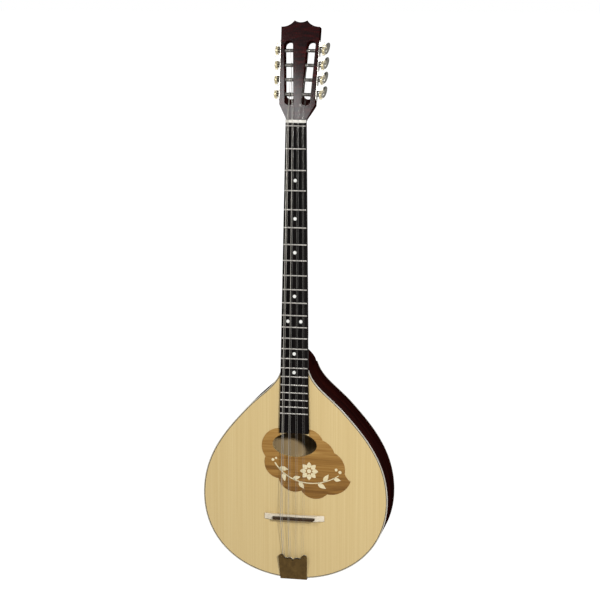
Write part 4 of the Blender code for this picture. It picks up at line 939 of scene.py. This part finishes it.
OCTAVE = 12
DOT_RADIUS, DOT_SPREAD = 2.9 * MM, 11 * MM
pearl_finish = clouded(
    "pearl_dots", 0.22, (260, 260, 500), (214, 214, 208), (246, 246, 242), 2.0, 1.5, Coat_Weight=0.4
)[0]


for number in (3, 5, 7, 10, OCTAVE, 15, 17):
    middle = -(from_zero_fret(number - 1) + from_zero_fret(number)) / 2
    for x in (-DOT_SPREAD, DOT_SPREAD) if number == OCTAVE else (0.0,):
        spot = circle((x, middle), DOT_RADIUS, 40)
        disc = plate([spot], -0.04 * MM, 0.5 * MM, 0, NECK_PLANE)
        dot = piece(f"dot_{number}_{'b' if x < 0 else 'a'}", disc, pearl_finish)
        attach(dot, "instrument")


# The frets: 22 crowned bars of nickel silver hammered into the board, their ends filed at a slant, and the
# taller zero fret that the open strings rest on.

fret_finish = clouded(
    "fret_wire", 0.32, (900, 400, 400), (140, 136, 130), (172, 168, 162), 2.0, Metallic=1.0
)[0]
FRET_REACH = 40 * MM  # the bar that the tree scales to each fret's width
FRET_HEIGHT, ZERO_FRET_HEIGHT = 1.0 * MM, 1.6 * MM


def fret_bar(height, reach):
    """A crowned bar across the board, its foot at the board's face."""
    half_width, sink = 1.05 * MM, 0.2 * MM
    crest = [(-half_width * cos(pi * i / 12), sink + (height - sink) * sin(pi * i / 12)) for i in range(13)]
    rings = []
    for x, share in ((-reach, 0.25), (-reach + 0.7 * MM, 1.0), (reach - 0.7 * MM, 1.0), (reach, 0.25)):
        rise = [(z, y * share) for z, y in crest]
        rings.append([(x, -y, z) for z, y in [(-half_width, -sink), *rise, (half_width, -sink)]])
    return loft(rings, "fret", turn=50)


fret_row, taps = geometry_tree(
    "fret_row", Frets="Int", Scale="Float", Width="Float", Widening="Float", Reach="Float"
)
points = taps["Frets"].node("GeometryNodePoints", {"Count": taps["Frets"]})
index = points.node("GeometryNodeInputIndex", {})
away = taps["Scale"] * (1 - 2 ** ((index + 1) / -12))
down_neck = points.node("ShaderNodeCombineXYZ", {"Z": away * -1})
placed = points.node("GeometryNodeSetPosition", {"Geometry": points, "Position": down_neck})
stretch = (taps["Width"] + away * taps["Widening"]) / taps["Reach"]
sizes = points.node("ShaderNodeCombineXYZ", {"X": stretch, "Y": 1.0, "Z": 1.0})
bars = points.node(
    "GeometryNodeInstanceOnPoints", {"Points": placed, "Instance": taps["Start"], "Scale": sizes}
)
end_tree(fret_row, bars, taps["Finish"])
widening = BOARD_WIDENING / from_zero_fret(FRETS)
all_frets = grown(
    fret_row, fret_bar(FRET_HEIGHT, FRET_REACH / 2), fret_finish, NECK_PLANE,
    Frets=FRETS, Scale=SCALE_LENGTH, Width=BOARD_WIDTH - 1.0 * MM, Widening=widening, Reach=FRET_REACH,
)
frets = piece("frets", all_frets, fret_finish)
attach(frets, "instrument")
zero_bar = fret_bar(ZERO_FRET_HEIGHT, board_half_width(ZERO_FRET_Z) - 0.4 * MM)
zero_bar.transform(NECK_PLANE)
zero_fret = piece("tall_zero_fret", zero_bar, fret_finish)
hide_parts("zero_fret")
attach(zero_fret, "instrument")


# The nut: a white bone block between the board and the head, which only spaces the strings. Each lies in its
# own filed notch.

COURSES = 4
STRING_RADII = [radius * MM for radius in (0.52, 0.30, 0.42, 0.21, 0.16, 0.16, 0.12, 0.12)]  # bass first
bone_finish = clouded("bone_nut", 0.32, (400, 400, 900), (216, 212, 202), (232, 229, 221), Coat_Weight=0.2)[0]


def string_offsets(course_gap, pair_gap):
    """Where the eight strings lie across the instrument, bass first."""
    middle = (COURSES - 1) / 2
    pairs = (-pair_gap / 2, pair_gap / 2)
    return [(i - middle) * course_gap + pair for i in range(COURSES) for pair in pairs]


def notched(half, top, places, rest):
    """A top line from the right to the left, with a round notch in which each string lies at its rest."""
    line = [(half, top)]
    for x, radius in sorted(zip(places, STRING_RADII), reverse=True):
        notch = radius * 1.15 + 0.03 * MM
        line.append((x + notch, top))
        line += circle((x, rest + radius), notch, 7, 0, -pi)
        line.append((x - notch, top))
    return line + [(-half, top)]


AT_NUT = string_offsets(8.4 * MM, 2.2 * MM)
nut_face = board_top(NECK_END_Z) - 1.0 * MM - 0.6 * MM
foot_half = board_half_width(NECK_END_Z) - 0.1 * MM
nut_line = notched(foot_half - 1.3 * MM, -nut_face + 0.62 * MM, AT_NUT, -nut_face)
nut_end = [(foot_half, -neck_front(NECK_END_Z)), (foot_half, -nut_face - 0.9 * MM)]
nut_loop = nut_end + nut_line + mirrored(nut_end)
lying = tipped(0, 0, NECK_END_Z - 2.5 * MM, pi / 2)
nut = piece("bone_nut", plate([nut_loop], -2.4 * MM, 2.4 * MM, 0.12 * MM, lying), bone_finish)
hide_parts("nut")
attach(nut, "instrument")


# The tuner plates: one pressed nickel strip down each side of the head, let over the four posts, with a pair
# of bearing ears for every worm and round-headed screws between the machines.

PLATE_THICKNESS = 1.2 * MM
STRIP_HALF = 6.5 * MM
WHEEL_OUT = 7.5 * MM
WHEEL_RADIUS = 6.5 * MM
WORM_RADIUS = 2.9 * MM
EAR_PLACE = 6.2 * MM
EAR_RADIUS, EAR_BORE = 3.5 * MM, 2.25 * MM
POST_OPENING = 3.3 * MM
STRIP_CORNER = 2 * MM
SCREW_DOME = ((1, 0), (0.96, 0.25), (0.75, 0.5), (0.4, 0.62), (0, 0.66))  # in shares of its radius
SCREW_SLOT = ((-1.2, -0.14, 0.32), (1.2, 0.14, 1))
nickel_finish, nickel_shader, haze = clouded(
    "nickel_plate", 0.3, (220, 220, 220), (150, 148, 142), (182, 180, 173), 4.0, Metallic=1.0
)
(haze * 0.25 + 0.16).into(nickel_shader, "Roughness")


def revolved(profile, place=Matrix(), sides=32):
    """A turned piece about its own Z, from (radius, height) points in millimetres."""
    rings = []
    for radius, height in profile:
        radius = max(radius, 0.001) * MM
        rings.append([(x, y, height * MM) for x, y in circle((0, 0), radius, sides)])
    return loft(rings, "turned", place)


def screw_head(radius, place):
    """A domed head with a slot, standing on its place's XY plane. Its radius is in millimetres."""
    dome = revolved([(radius * out, radius * up) for out, up in SCREW_DOME])
    low, high = [[radius * MM * share for share in corner] for corner in SCREW_SLOT]
    slot = block(low, high)
    head = joined(dome, [("DIFFERENCE", slot)])
    head.transform(place)
    return head


pitch = POST_PITCH / cos(HEAD_TAPER)
for side, word, number in ((-1, "bass", 1), (1, "treble", 1 + POSTS_A_SIDE)):
    seat = MACHINES[number][1]
    facing = seat @ Matrix.Rotation(-side * pi / 2, 4, "Z")
    low, high = -10 * MM, (POSTS_A_SIDE - 1) * pitch + 17 * MM
    edge = []
    for z, first in ((low + STRIP_CORNER, -pi / 2), (high - STRIP_CORNER, 0.0)):
        edge += circle((STRIP_HALF - STRIP_CORNER, z), STRIP_CORNER, 7, first, pi / 2)
    holes = [circle((0, i * pitch), POST_OPENING, 28) for i in range(POSTS_A_SIDE)]
    strip = plate([edge + mirrored(edge), *holes], GLUE_LINE, PLATE_THICKNESS, 0.15 * MM, facing)
    over, out = WHEEL_RADIUS + WORM_RADIUS, side * WHEEL_OUT
    ear = circle((out, over), EAR_RADIUS, 19, -pi / 2, side * pi)
    ear = [(side * 0.6 * MM, over - EAR_RADIUS), *ear, (side * 0.6 * MM, over + EAR_RADIUS)]
    ear_loops = [ear, circle((out, over), EAR_BORE, 24)]
    ears = []
    for i in range(POSTS_A_SIDE):
        for place_at in (-EAR_PLACE, EAR_PLACE):
            up = seat @ Matrix.Translation((0, place_at, i * pitch))
            ears.append(("UNION", plate(ear_loops, -0.8 * MM, 0.8 * MM, 0.12 * MM, up)))
    strip_piece = piece(f"tuner_strip_{word}", joined(strip, ears), nickel_finish)
    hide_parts(f"tuner_plate_{word}")
    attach(strip_piece, "instrument")
    outwards = Matrix.Rotation(side * pi / 2, 4, "Y")
    between = [pitch * (i + 0.5) + 6.4 * MM for i in range(POSTS_A_SIDE - 1)]
    for i, up in enumerate([low + 3 * MM, *between, high - 3 * MM]):
        on_strip = seat @ Matrix.Translation((side * PLATE_THICKNESS, 0, up)) @ outwards
        head = piece(f"strip_screw_{word}_{i}", screw_head(1.5, on_strip), nickel_finish)
        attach(head, "instrument")


# The posts: nickel-plated rollers across the head, each with a string hole and a brass worm wheel of 14 teeth
# held by a screw, and three turns of its string wound on.

WHEEL_TEETH = 14
WOUND_STRINGS = 3
STRING_TURNS = 3.0
WAIST = 2.75  # the roller's radius in millimetres where its string winds on
STRING_AT_POST = [across * MM for across in (14.2, 14.4, 13.6, 15.9)]  # from the middle of the head
brass_finish, brass_shader, tarnish = clouded(
    "worn_brass", 0.3, (300, 300, 300), (172, 160, 126), (222, 214, 186), 4.0, Metallic=1.0
)
(0.5 - tarnish * 0.35).into(brass_shader, "Roughness")
# Painted shade: the rollers' nickel is coloured dark grey, standing in for dark surroundings reflected in it.
shaded_roller_finish = clouded(
    "roller_plating_painted_shade", 0.34, (300, 300, 300), (74, 72, 69), (112, 110, 105), 4.0, Metallic=1.0
)[0]
plain_finish = clouded(
    "plain_steel_string", 0.22, (500, 500, 30), (128, 126, 122), (162, 160, 155), Metallic=1.0
)[0]
wound_finish, wound_shader, place = material("wound_nickel_string", 0.34, Metallic=1.0)
WOUND_STOPS = [(0.3, (140, 137, 130)), (0.7, (176, 172, 164))]
coloured(streaks(place, (500, 500, 30)), WOUND_STOPS).into(wound_shader, "Base Color")
winding = place.node("ShaderNodeTexWave", {"Vector": place, "Scale": 450.0}, output=1, bands_direction="Z")
bumped(winding, 0.5, 0.05 * MM).into(wound_shader, "Normal")


def string_finish(number):
    return wound_finish if number < WOUND_STRINGS else plain_finish


# A round wire wound in a coil about Y
coil, taps = geometry_tree("coil", Turns="Float", Radius="Float", Length="Float", Wire="Float")
spiral = taps["Turns"].node(
    "GeometryNodeCurveSpiral",
    {
        "Resolution": 32, "Rotations": taps["Turns"], "Height": taps["Length"],
        "Start Radius": taps["Radius"], "End Radius": taps["Radius"],
    },
)
section = spiral.node("GeometryNodeCurvePrimitiveCircle", {"Resolution": 10, "Radius": taps["Wire"]})
wire = spiral.node("GeometryNodeCurveToMesh", {"Curve": spiral, "Profile Curve": section, "Fill Caps": True})
end_tree(coil, wire, taps["Finish"])

flank = [(4.0, 1.1), (5.5, 0.78), (6.2, 0.68), (6.9, 0.42), (7.1, 0.3)]
tooth = [(x * MM, -z * MM) for x, z in flank] + [(x * MM, z * MM) for x, z in reversed(flank)]
tooth_mesh = plate([tooth], -2 * MM, 2 * MM, 0.12 * MM)
STRING_OF_POST = {1: 0, 2: 1, 3: 2, 4: 3, 5: 7, 6: 6, 7: 5, 8: 4}
rim_profile = [
    (1.0, 1.55), (3.4, 1.55), (3.9, 2.0), (5.45, 2.0), (5.6, 1.85), (5.6, -1.85), (5.45, -2.0), (1.0, -2.0),
]
along_x = Matrix.Rotation(pi / 2, 4, "Y")
for number, (side, seat) in MACHINES.items():
    inwards = seat @ Matrix.Rotation(0 if side > 0 else pi, 4, "Z")
    order = (number - 1) % POSTS_A_SIDE
    string = STRING_OF_POST[number]
    at = head_half_width(FIRST_POST + order * POST_PITCH) - STRING_AT_POST[order]
    waist = -at / MM
    profile = [
        (0, -27.0), (2.7, -27.0), (3.0, -26.7), (3.0, waist - 2.6), (WAIST, waist - 2.1),
        (WAIST, waist + 2.1), (3.0, waist + 2.6), (3.0, 9.6), (2.6, 10.2), (0, 10.2),
    ]
    shaft = revolved(profile, inwards @ along_x)
    threading = rod(0.8 * MM, (-at + 1.4 * MM, -4 * MM, 0), (-at + 1.4 * MM, 4 * MM, 0), inwards, 16)
    post = piece(f"roller_{number}", joined(shaft, [("DIFFERENCE", threading)]), shaded_roller_finish)
    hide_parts(f"tuner_post_{number}")
    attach(post, f"post_{number}")
    on_axis = inwards @ Matrix.Translation((WHEEL_OUT, 0, 0))
    rim_piece = piece(f"wheel_{number}", revolved(rim_profile, on_axis @ along_x, 42), brass_finish)
    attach(rim_piece, f"post_{number}")
    half_tooth = Matrix.Rotation(-(pi / 2 + pi / WHEEL_TEETH), 4, "Y")
    facing = on_axis @ Matrix.Rotation(-pi / 2, 4, "Z") @ half_tooth
    teeth = grown(turned_copies, tooth_mesh.copy(), brass_finish, facing, Count=WHEEL_TEETH)
    teeth_piece = piece(f"wheel_teeth_{number}", teeth, brass_finish)
    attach(teeth_piece, f"post_{number}")
    on_end = inwards @ Matrix.Translation((10.1 * MM, 0, 0)) @ along_x
    end = piece(f"wheel_screw_{number}", screw_head(2.0, on_end), nickel_finish)
    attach(end, f"post_{number}")
    radius = STRING_RADII[string]
    about = inwards @ Matrix.Translation((-at - 3 * radius, 0, 0)) @ along_x
    steel = string_finish(string)
    turns = grown(
        coil, None, steel, about,
        Turns=STRING_TURNS, Radius=WAIST * MM + radius, Length=6.2 * radius, Wire=radius,
    )
    wraps = piece(f"string_turns_{number}", turns, steel)
    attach(wraps, f"post_{number}")


# The keys: brass worms that run in the ears and drive the wheels, with collars against the ears and pressed
# ear-shaped nickel buttons behind the head.

THREAD_TURNS = 2.6
THREAD_RADIUS, THREAD_WIRE = 2.5 * MM, 0.72 * MM
BUTTON_CENTRE = 24.5 * MM
BUTTON_SIZE = (9.5 * MM, 12 * MM, 21 * MM)
BUTTON_TILT = radians(18)
lead = 2 * pi * WHEEL_RADIUS / WHEEL_TEETH
# Painted shade: the buttons' nickel is coloured mid-grey, standing in for dark surroundings reflected in it.
shaded_button_finish = clouded(
    "button_plating_painted_shade", 0.34, (260, 260, 260), (90, 88, 82), (128, 126, 118), 4.0, Metallic=1.0
)[0]


def button_mesh(side, place):
    """A soft ear-shaped button about its shaft's Z, broad at the top lobe and thinner below."""
    work = bmesh.new()
    bmesh.ops.create_uvsphere(work, u_segments=40, v_segments=24, radius=1.0)
    bmesh.ops.rotate(work, verts=work.verts, cent=(0, 0, 0), matrix=Matrix.Rotation(pi / 2, 3, "X"))
    wide, long, tall = BUTTON_SIZE
    for vert in work.verts:
        x, y, z = vert.co
        lobe = 1.0 + 0.16 * y
        waist = 1.0 - 0.12 * (1 - y * y)
        flat_x = (abs(x) ** 0.82) * (1 if x > 0 else -1)
        flat_y = (abs(y) ** 0.9) * (1 if y > 0 else -1)
        along = z * long / 2 * waist * lobe / 1.16 - 0.03 * long * y
        vert.co = (flat_x * wide / 2 * lobe, flat_y * tall / 2, along)
    tilt = Matrix.Translation((0, 0, BUTTON_CENTRE)) @ Matrix.Rotation(side * BUTTON_TILT, 4, "Z")
    return close_up(work, "button", place @ tilt, 60)


for number, (side, seat) in MACHINES.items():
    axis = seat @ tipped(side * WHEEL_OUT, 0, WHEEL_RADIUS + WORM_RADIUS, -pi / 2)
    profile = [
        (0, 19.8), (2.0, 19.8), (2.0, 9.8), (2.4, 9.6), (2.8, 9.2), (2.8, 7.5), (2.6, 7.3), (2.0, 7.3),
        (2.0, 5.3), (2.2, 5.1), (2.2, -5.1), (2.0, -5.3), (2.0, -7.9), (1.7, -8.2), (0, -8.2),
    ]
    worm = piece(f"worm_{number}", revolved(profile, axis), brass_finish)
    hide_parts(f"tuner_key_{number}")
    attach(worm, f"key_{number}")
    phase = Matrix.Rotation(pi / 2 - pi * THREAD_TURNS, 4, "Z")
    centred = axis @ phase @ Matrix.Translation((0, 0, -lead * THREAD_TURNS / 2))
    ridge = grown(
        coil, None, brass_finish, centred,
        Turns=THREAD_TURNS, Radius=THREAD_RADIUS, Length=lead * THREAD_TURNS, Wire=THREAD_WIRE,
    )
    thread = piece(f"worm_thread_{number}", ridge, brass_finish)
    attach(thread, f"key_{number}")
    button = piece(f"key_button_{number}", button_mesh(side, axis), shaded_button_finish)
    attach(button, f"key_{number}")


# The bridge: a pale maple base on two feet that only the strings' pressure holds on the soundboard, with a
# dark notched saddle along it.

SADDLE_Z = BRIDGE_POINT_Z + 6.6 * MM
SADDLE_TOP = 18.2 * MM
BRIDGE_HALF, SADDLE_HALF = 5 * MM, 1.7 * MM  # along the strings
BRIDGE_EDGE = 1.5 * MM
maple_finish, maple_shader, fibres = clouded(
    "bridge_maple", 0.42, (30, 500, 500), (210, 197, 173), (232, 221, 200), 3.0, 0.4,
    Specular_IOR_Level=0.3, Coat_Weight=0.08,
)
bumped(fibres, 0.1, 0.05 * MM).into(maple_shader, "Normal")
under = arc((-20 * MM, GLUE_LINE), (0, 2.8 * MM), (20 * MM, GLUE_LINE), 16)
tip = ellipse((50 * MM, 1.9 * MM), (2 * MM, 1.9 * MM), 9, -pi / 2, pi)
over = [*tip, (44 * MM, 5.6 * MM), (40 * MM, 7.8 * MM), (37 * MM, 8.9 * MM), (35 * MM, 9.3 * MM)]
base_loop = [(-20 * MM, GLUE_LINE), *under, *over, *mirrored(over)]
lying = tipped(0, depth(0), BRIDGE_POINT_Z + 6.4 * MM, pi / 2)
bridge_mesh = plate([base_loop], -BRIDGE_HALF, BRIDGE_HALF, BRIDGE_EDGE, lying, 5)
bridge = piece("maple_bridge", bridge_mesh, maple_finish)
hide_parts("bridge_base")
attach(bridge, "bridge")

AT_SADDLE = string_offsets(12.6 * MM, 2.6 * MM)
string_rest = SADDLE_TOP + 0.3 * MM
saddle_line = notched(34.3 * MM, SADDLE_TOP + 0.75 * MM, AT_SADDLE, string_rest)
saddle_end = [(36.5 * MM, 9.2 * MM), (35.6 * MM, 15.5 * MM)]
saddle_loop = saddle_end + saddle_line + mirrored(saddle_end)
saddle_finish = clouded(
    "brown_saddle", 0.45, (30, 600, 600), (38, 25, 16), (64, 45, 28), Specular_IOR_Level=0.1
)[0]
lying = tipped(0, depth(0), SADDLE_Z, pi / 2)
saddle_mesh = plate([saddle_loop], -SADDLE_HALF, SADDLE_HALF, 0.12 * MM, lying)
saddle = piece("rosewood_saddle", saddle_mesh, saddle_finish)
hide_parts("bridge_saddle")
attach(saddle, "bridge")


# The tailpiece: a hook plate of steel with eight hooks under a bronze-coloured cover, riveted together at two
# round lugs. The cover's flange is folded over the tail and screwed to the tail block.

TAILPIECE_OFFSET = -1.5 * MM
SHEET = 1.0 * MM
COVER_HALF = 23 * MM
COVER_TILT, HOOK_TILT = radians(12), radians(7.5)
FLANGE_END, FLANGE_CORNER = 24 * MM, 3 * MM
HOOK_RADIUS = 0.8 * MM
TAIL_SCREW_X, TAIL_SCREW_DEPTH = 11 * MM, 17 * MM
LUG_X, LUG_Z, LUG_RADIUS = 19.8 * MM, 41 * MM, 5 * MM
COVER_FRAME = tipped(TAILPIECE_OFFSET, depth(-0.7 * MM), TAIL_Z - 0.3 * MM, COVER_TILT)
HOOK_FRAME = tipped(TAILPIECE_OFFSET, depth(-0.3 * MM), TAIL_Z + 5 * MM, HOOK_TILT)
bronze_finish, bronze_shader, place = material("aged_bronze", 0.4, Metallic=0.85)
patina = streaks(place, (130, 130, 130), 5.0, 0.4)
brushed = streaks(place, (900, 900, 40), 2.0)
BRONZE_STOPS = [(0.3, (68, 50, 24)), (0.5, (83, 63, 30)), (0.7, (98, 76, 40))]
coloured(patina * 0.7 + brushed * 0.3, BRONZE_STOPS).into(bronze_shader, "Base Color")
(patina * 0.4 + 0.22).into(bronze_shader, "Roughness")


def lugged(foot, foot_half, lug_z, radius):
    """A foot, straight sides, two round lugs and a cusped edge between them."""
    side = [(foot_half, foot), *circle((LUG_X, lug_z), radius, 21, 0, pi)]
    cusp = arc(side[-1], (12.2 * MM, lug_z - 2.7 * MM), (7.4 * MM, lug_z - 2.1 * MM), 8)
    dip = arc(cusp[-1], (4.2 * MM, lug_z - 2.4 * MM), (0, lug_z - 7.3 * MM), 10)
    half = side + cusp + dip[:-1]
    return half + [(0, lug_z - 7.3 * MM)] + mirrored(half)


def on_hook_plate(z):
    """How far up the hook plate a line square to the cover crosses it, from its height on the cover."""
    across = HOOK_FRAME.inverted() @ COVER_FRAME
    start, end = across @ Vector((0, 0, z)), across @ Vector((0, 10 * MM, z))
    return start.z + (end.z - start.z) * (-SHEET / 2 - start.y) / (end.y - start.y)


AT_TAIL = string_offsets(10.4 * MM, 2.8 * MM)
HOOKS = [(x, (25 - (2.5 if i % 2 else 0)) * MM) for i, x in enumerate(AT_TAIL)]
hook_plate = plate([lugged(0, 21.8 * MM, on_hook_plate(LUG_Z), 3.8 * MM)], -SHEET, 0, 0.2 * MM, HOOK_FRAME)
hooks = []
for x, z in HOOKS:
    stem = ((x, -SHEET / 2, z), (x, -3.0 * MM, z))
    beak = ((x, -2.5 * MM, z + 0.5 * MM), (x, -2.5 * MM, z - 2.2 * MM))
    hooks += [("UNION", rod(HOOK_RADIUS, start, end, HOOK_FRAME, 16)) for start, end in (stem, beak)]
hook_plate = piece("hook_plate", joined(hook_plate, hooks), nickel_finish)
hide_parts("tailpiece_hook_plate")
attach(hook_plate, "instrument")

cover = plate([lugged(-0.9 * MM, COVER_HALF, LUG_Z, LUG_RADIUS)], -SHEET, 0, 0.2 * MM, COVER_FRAME)
flange_left, flange_right = TAILPIECE_OFFSET - COVER_HALF, TAILPIECE_OFFSET + COVER_HALF
corner_y = -depth(FLANGE_END) + FLANGE_CORNER
flange_loop = [
    (flange_left, -depth(-1.6 * MM)), (flange_right, -depth(-1.6 * MM)), (flange_right, corner_y),
    *circle((flange_right - FLANGE_CORNER, corner_y), FLANGE_CORNER, 7, 0, -pi / 2),
    *circle((flange_left + FLANGE_CORNER, corner_y), FLANGE_CORNER, 7, -pi / 2, -pi / 2),
]
lying = tipped(0, 0, TAIL_Z - 0.3 * MM - SHEET / 2, pi / 2)
flange = plate([flange_loop], -SHEET / 2, SHEET / 2, 0.15 * MM, lying)
cover_piece = piece("bronze_cover", joined(cover, [("UNION", flange)]), bronze_finish)
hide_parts("tailpiece_cover")
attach(cover_piece, "instrument")
rivet_profile = [
    (1.2, -6.5), (1.2, 0.0), (2.0, 0.0), (2.0, 0.25), (1.75, 0.6), (1.2, 0.85), (0.5, 0.95), (0, 0.97),
]
for x, word in ((-LUG_X, "bass"), (LUG_X, "treble")):
    forward = COVER_FRAME @ tipped(x, -SHEET, LUG_Z, pi / 2)
    rivet = piece(f"cover_rivet_{word}", revolved(rivet_profile, forward), bronze_finish)
    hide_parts(f"tailpiece_rivet_{word}")
    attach(rivet, "instrument")
for x, word in ((-TAIL_SCREW_X, "bass"), (TAIL_SCREW_X, "treble")):
    down = tipped(x, depth(TAIL_SCREW_DEPTH), TAIL_Z - 1.35 * MM, pi)
    head = piece(f"tail_screw_{word}", screw_head(3.0, down), nickel_finish)
    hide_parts(f"tailpiece_screw_{word}")
    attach(head, "instrument")


# The strings: four double courses from the hooks over the saddle, the zero fret and the nut to the posts. The
# three thickest are wound with nickel and the others are plain steel.

def route(number):
    """A string's path, the same as its node's, level over the saddle as far as the bridge slides."""
    radius = STRING_RADII[number]
    x_hook, z_hook = HOOKS[number]
    hook = HOOK_FRAME @ Vector((x_hook, -2 * SHEET, z_hook + 1.1 * MM + radius))
    saddle_y = depth(-string_rest) - radius
    zero_y = board_top(ZERO_FRET_Z) - 1.9 * MM - radius
    nut_y = min(nut_face - radius, zero_y)
    side = -1 if number < COURSES else 1
    order = number if number < COURSES else 7 - number
    at_post = Vector(
        (side * STRING_AT_POST[order], POST_DEPTH - 2.85 * MM - radius, FIRST_POST + order * POST_PITCH)
    )
    return [
        hook,
        Vector((AT_SADDLE[number], saddle_y, SADDLE_Z - 5 * MM)),
        Vector((AT_SADDLE[number], saddle_y, SADDLE_Z + 5 * MM)),
        Vector((AT_NUT[number], zero_y, ZERO_FRET_Z)),
        Vector((AT_NUT[number], nut_y, NECK_END_Z - 2.5 * MM)),
        Vector((AT_NUT[number], nut_y + 0.2 * MM, NECK_END_Z + 0.6 * MM)),
        HEAD_FRAME @ at_post,
    ]


for number in range(2 * COURSES):
    curve = bpy.data.curves.new("string", "CURVE")
    curve.dimensions, curve.use_fill_caps = "3D", True
    curve.bevel_depth, curve.bevel_resolution = STRING_RADII[number], 4
    line = curve.splines.new("POLY")
    points = route(number)
    line.points.add(len(points) - 1)
    for point, at in zip(line.points, points):
        point.co = (*at, 1)
    wire = settled(linked("string", curve), "string", turn=60)
    string = piece(f"string_{number + 1}_wire", wire, string_finish(number))
    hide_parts(f"string_{number + 1}")
    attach(string, "instrument")
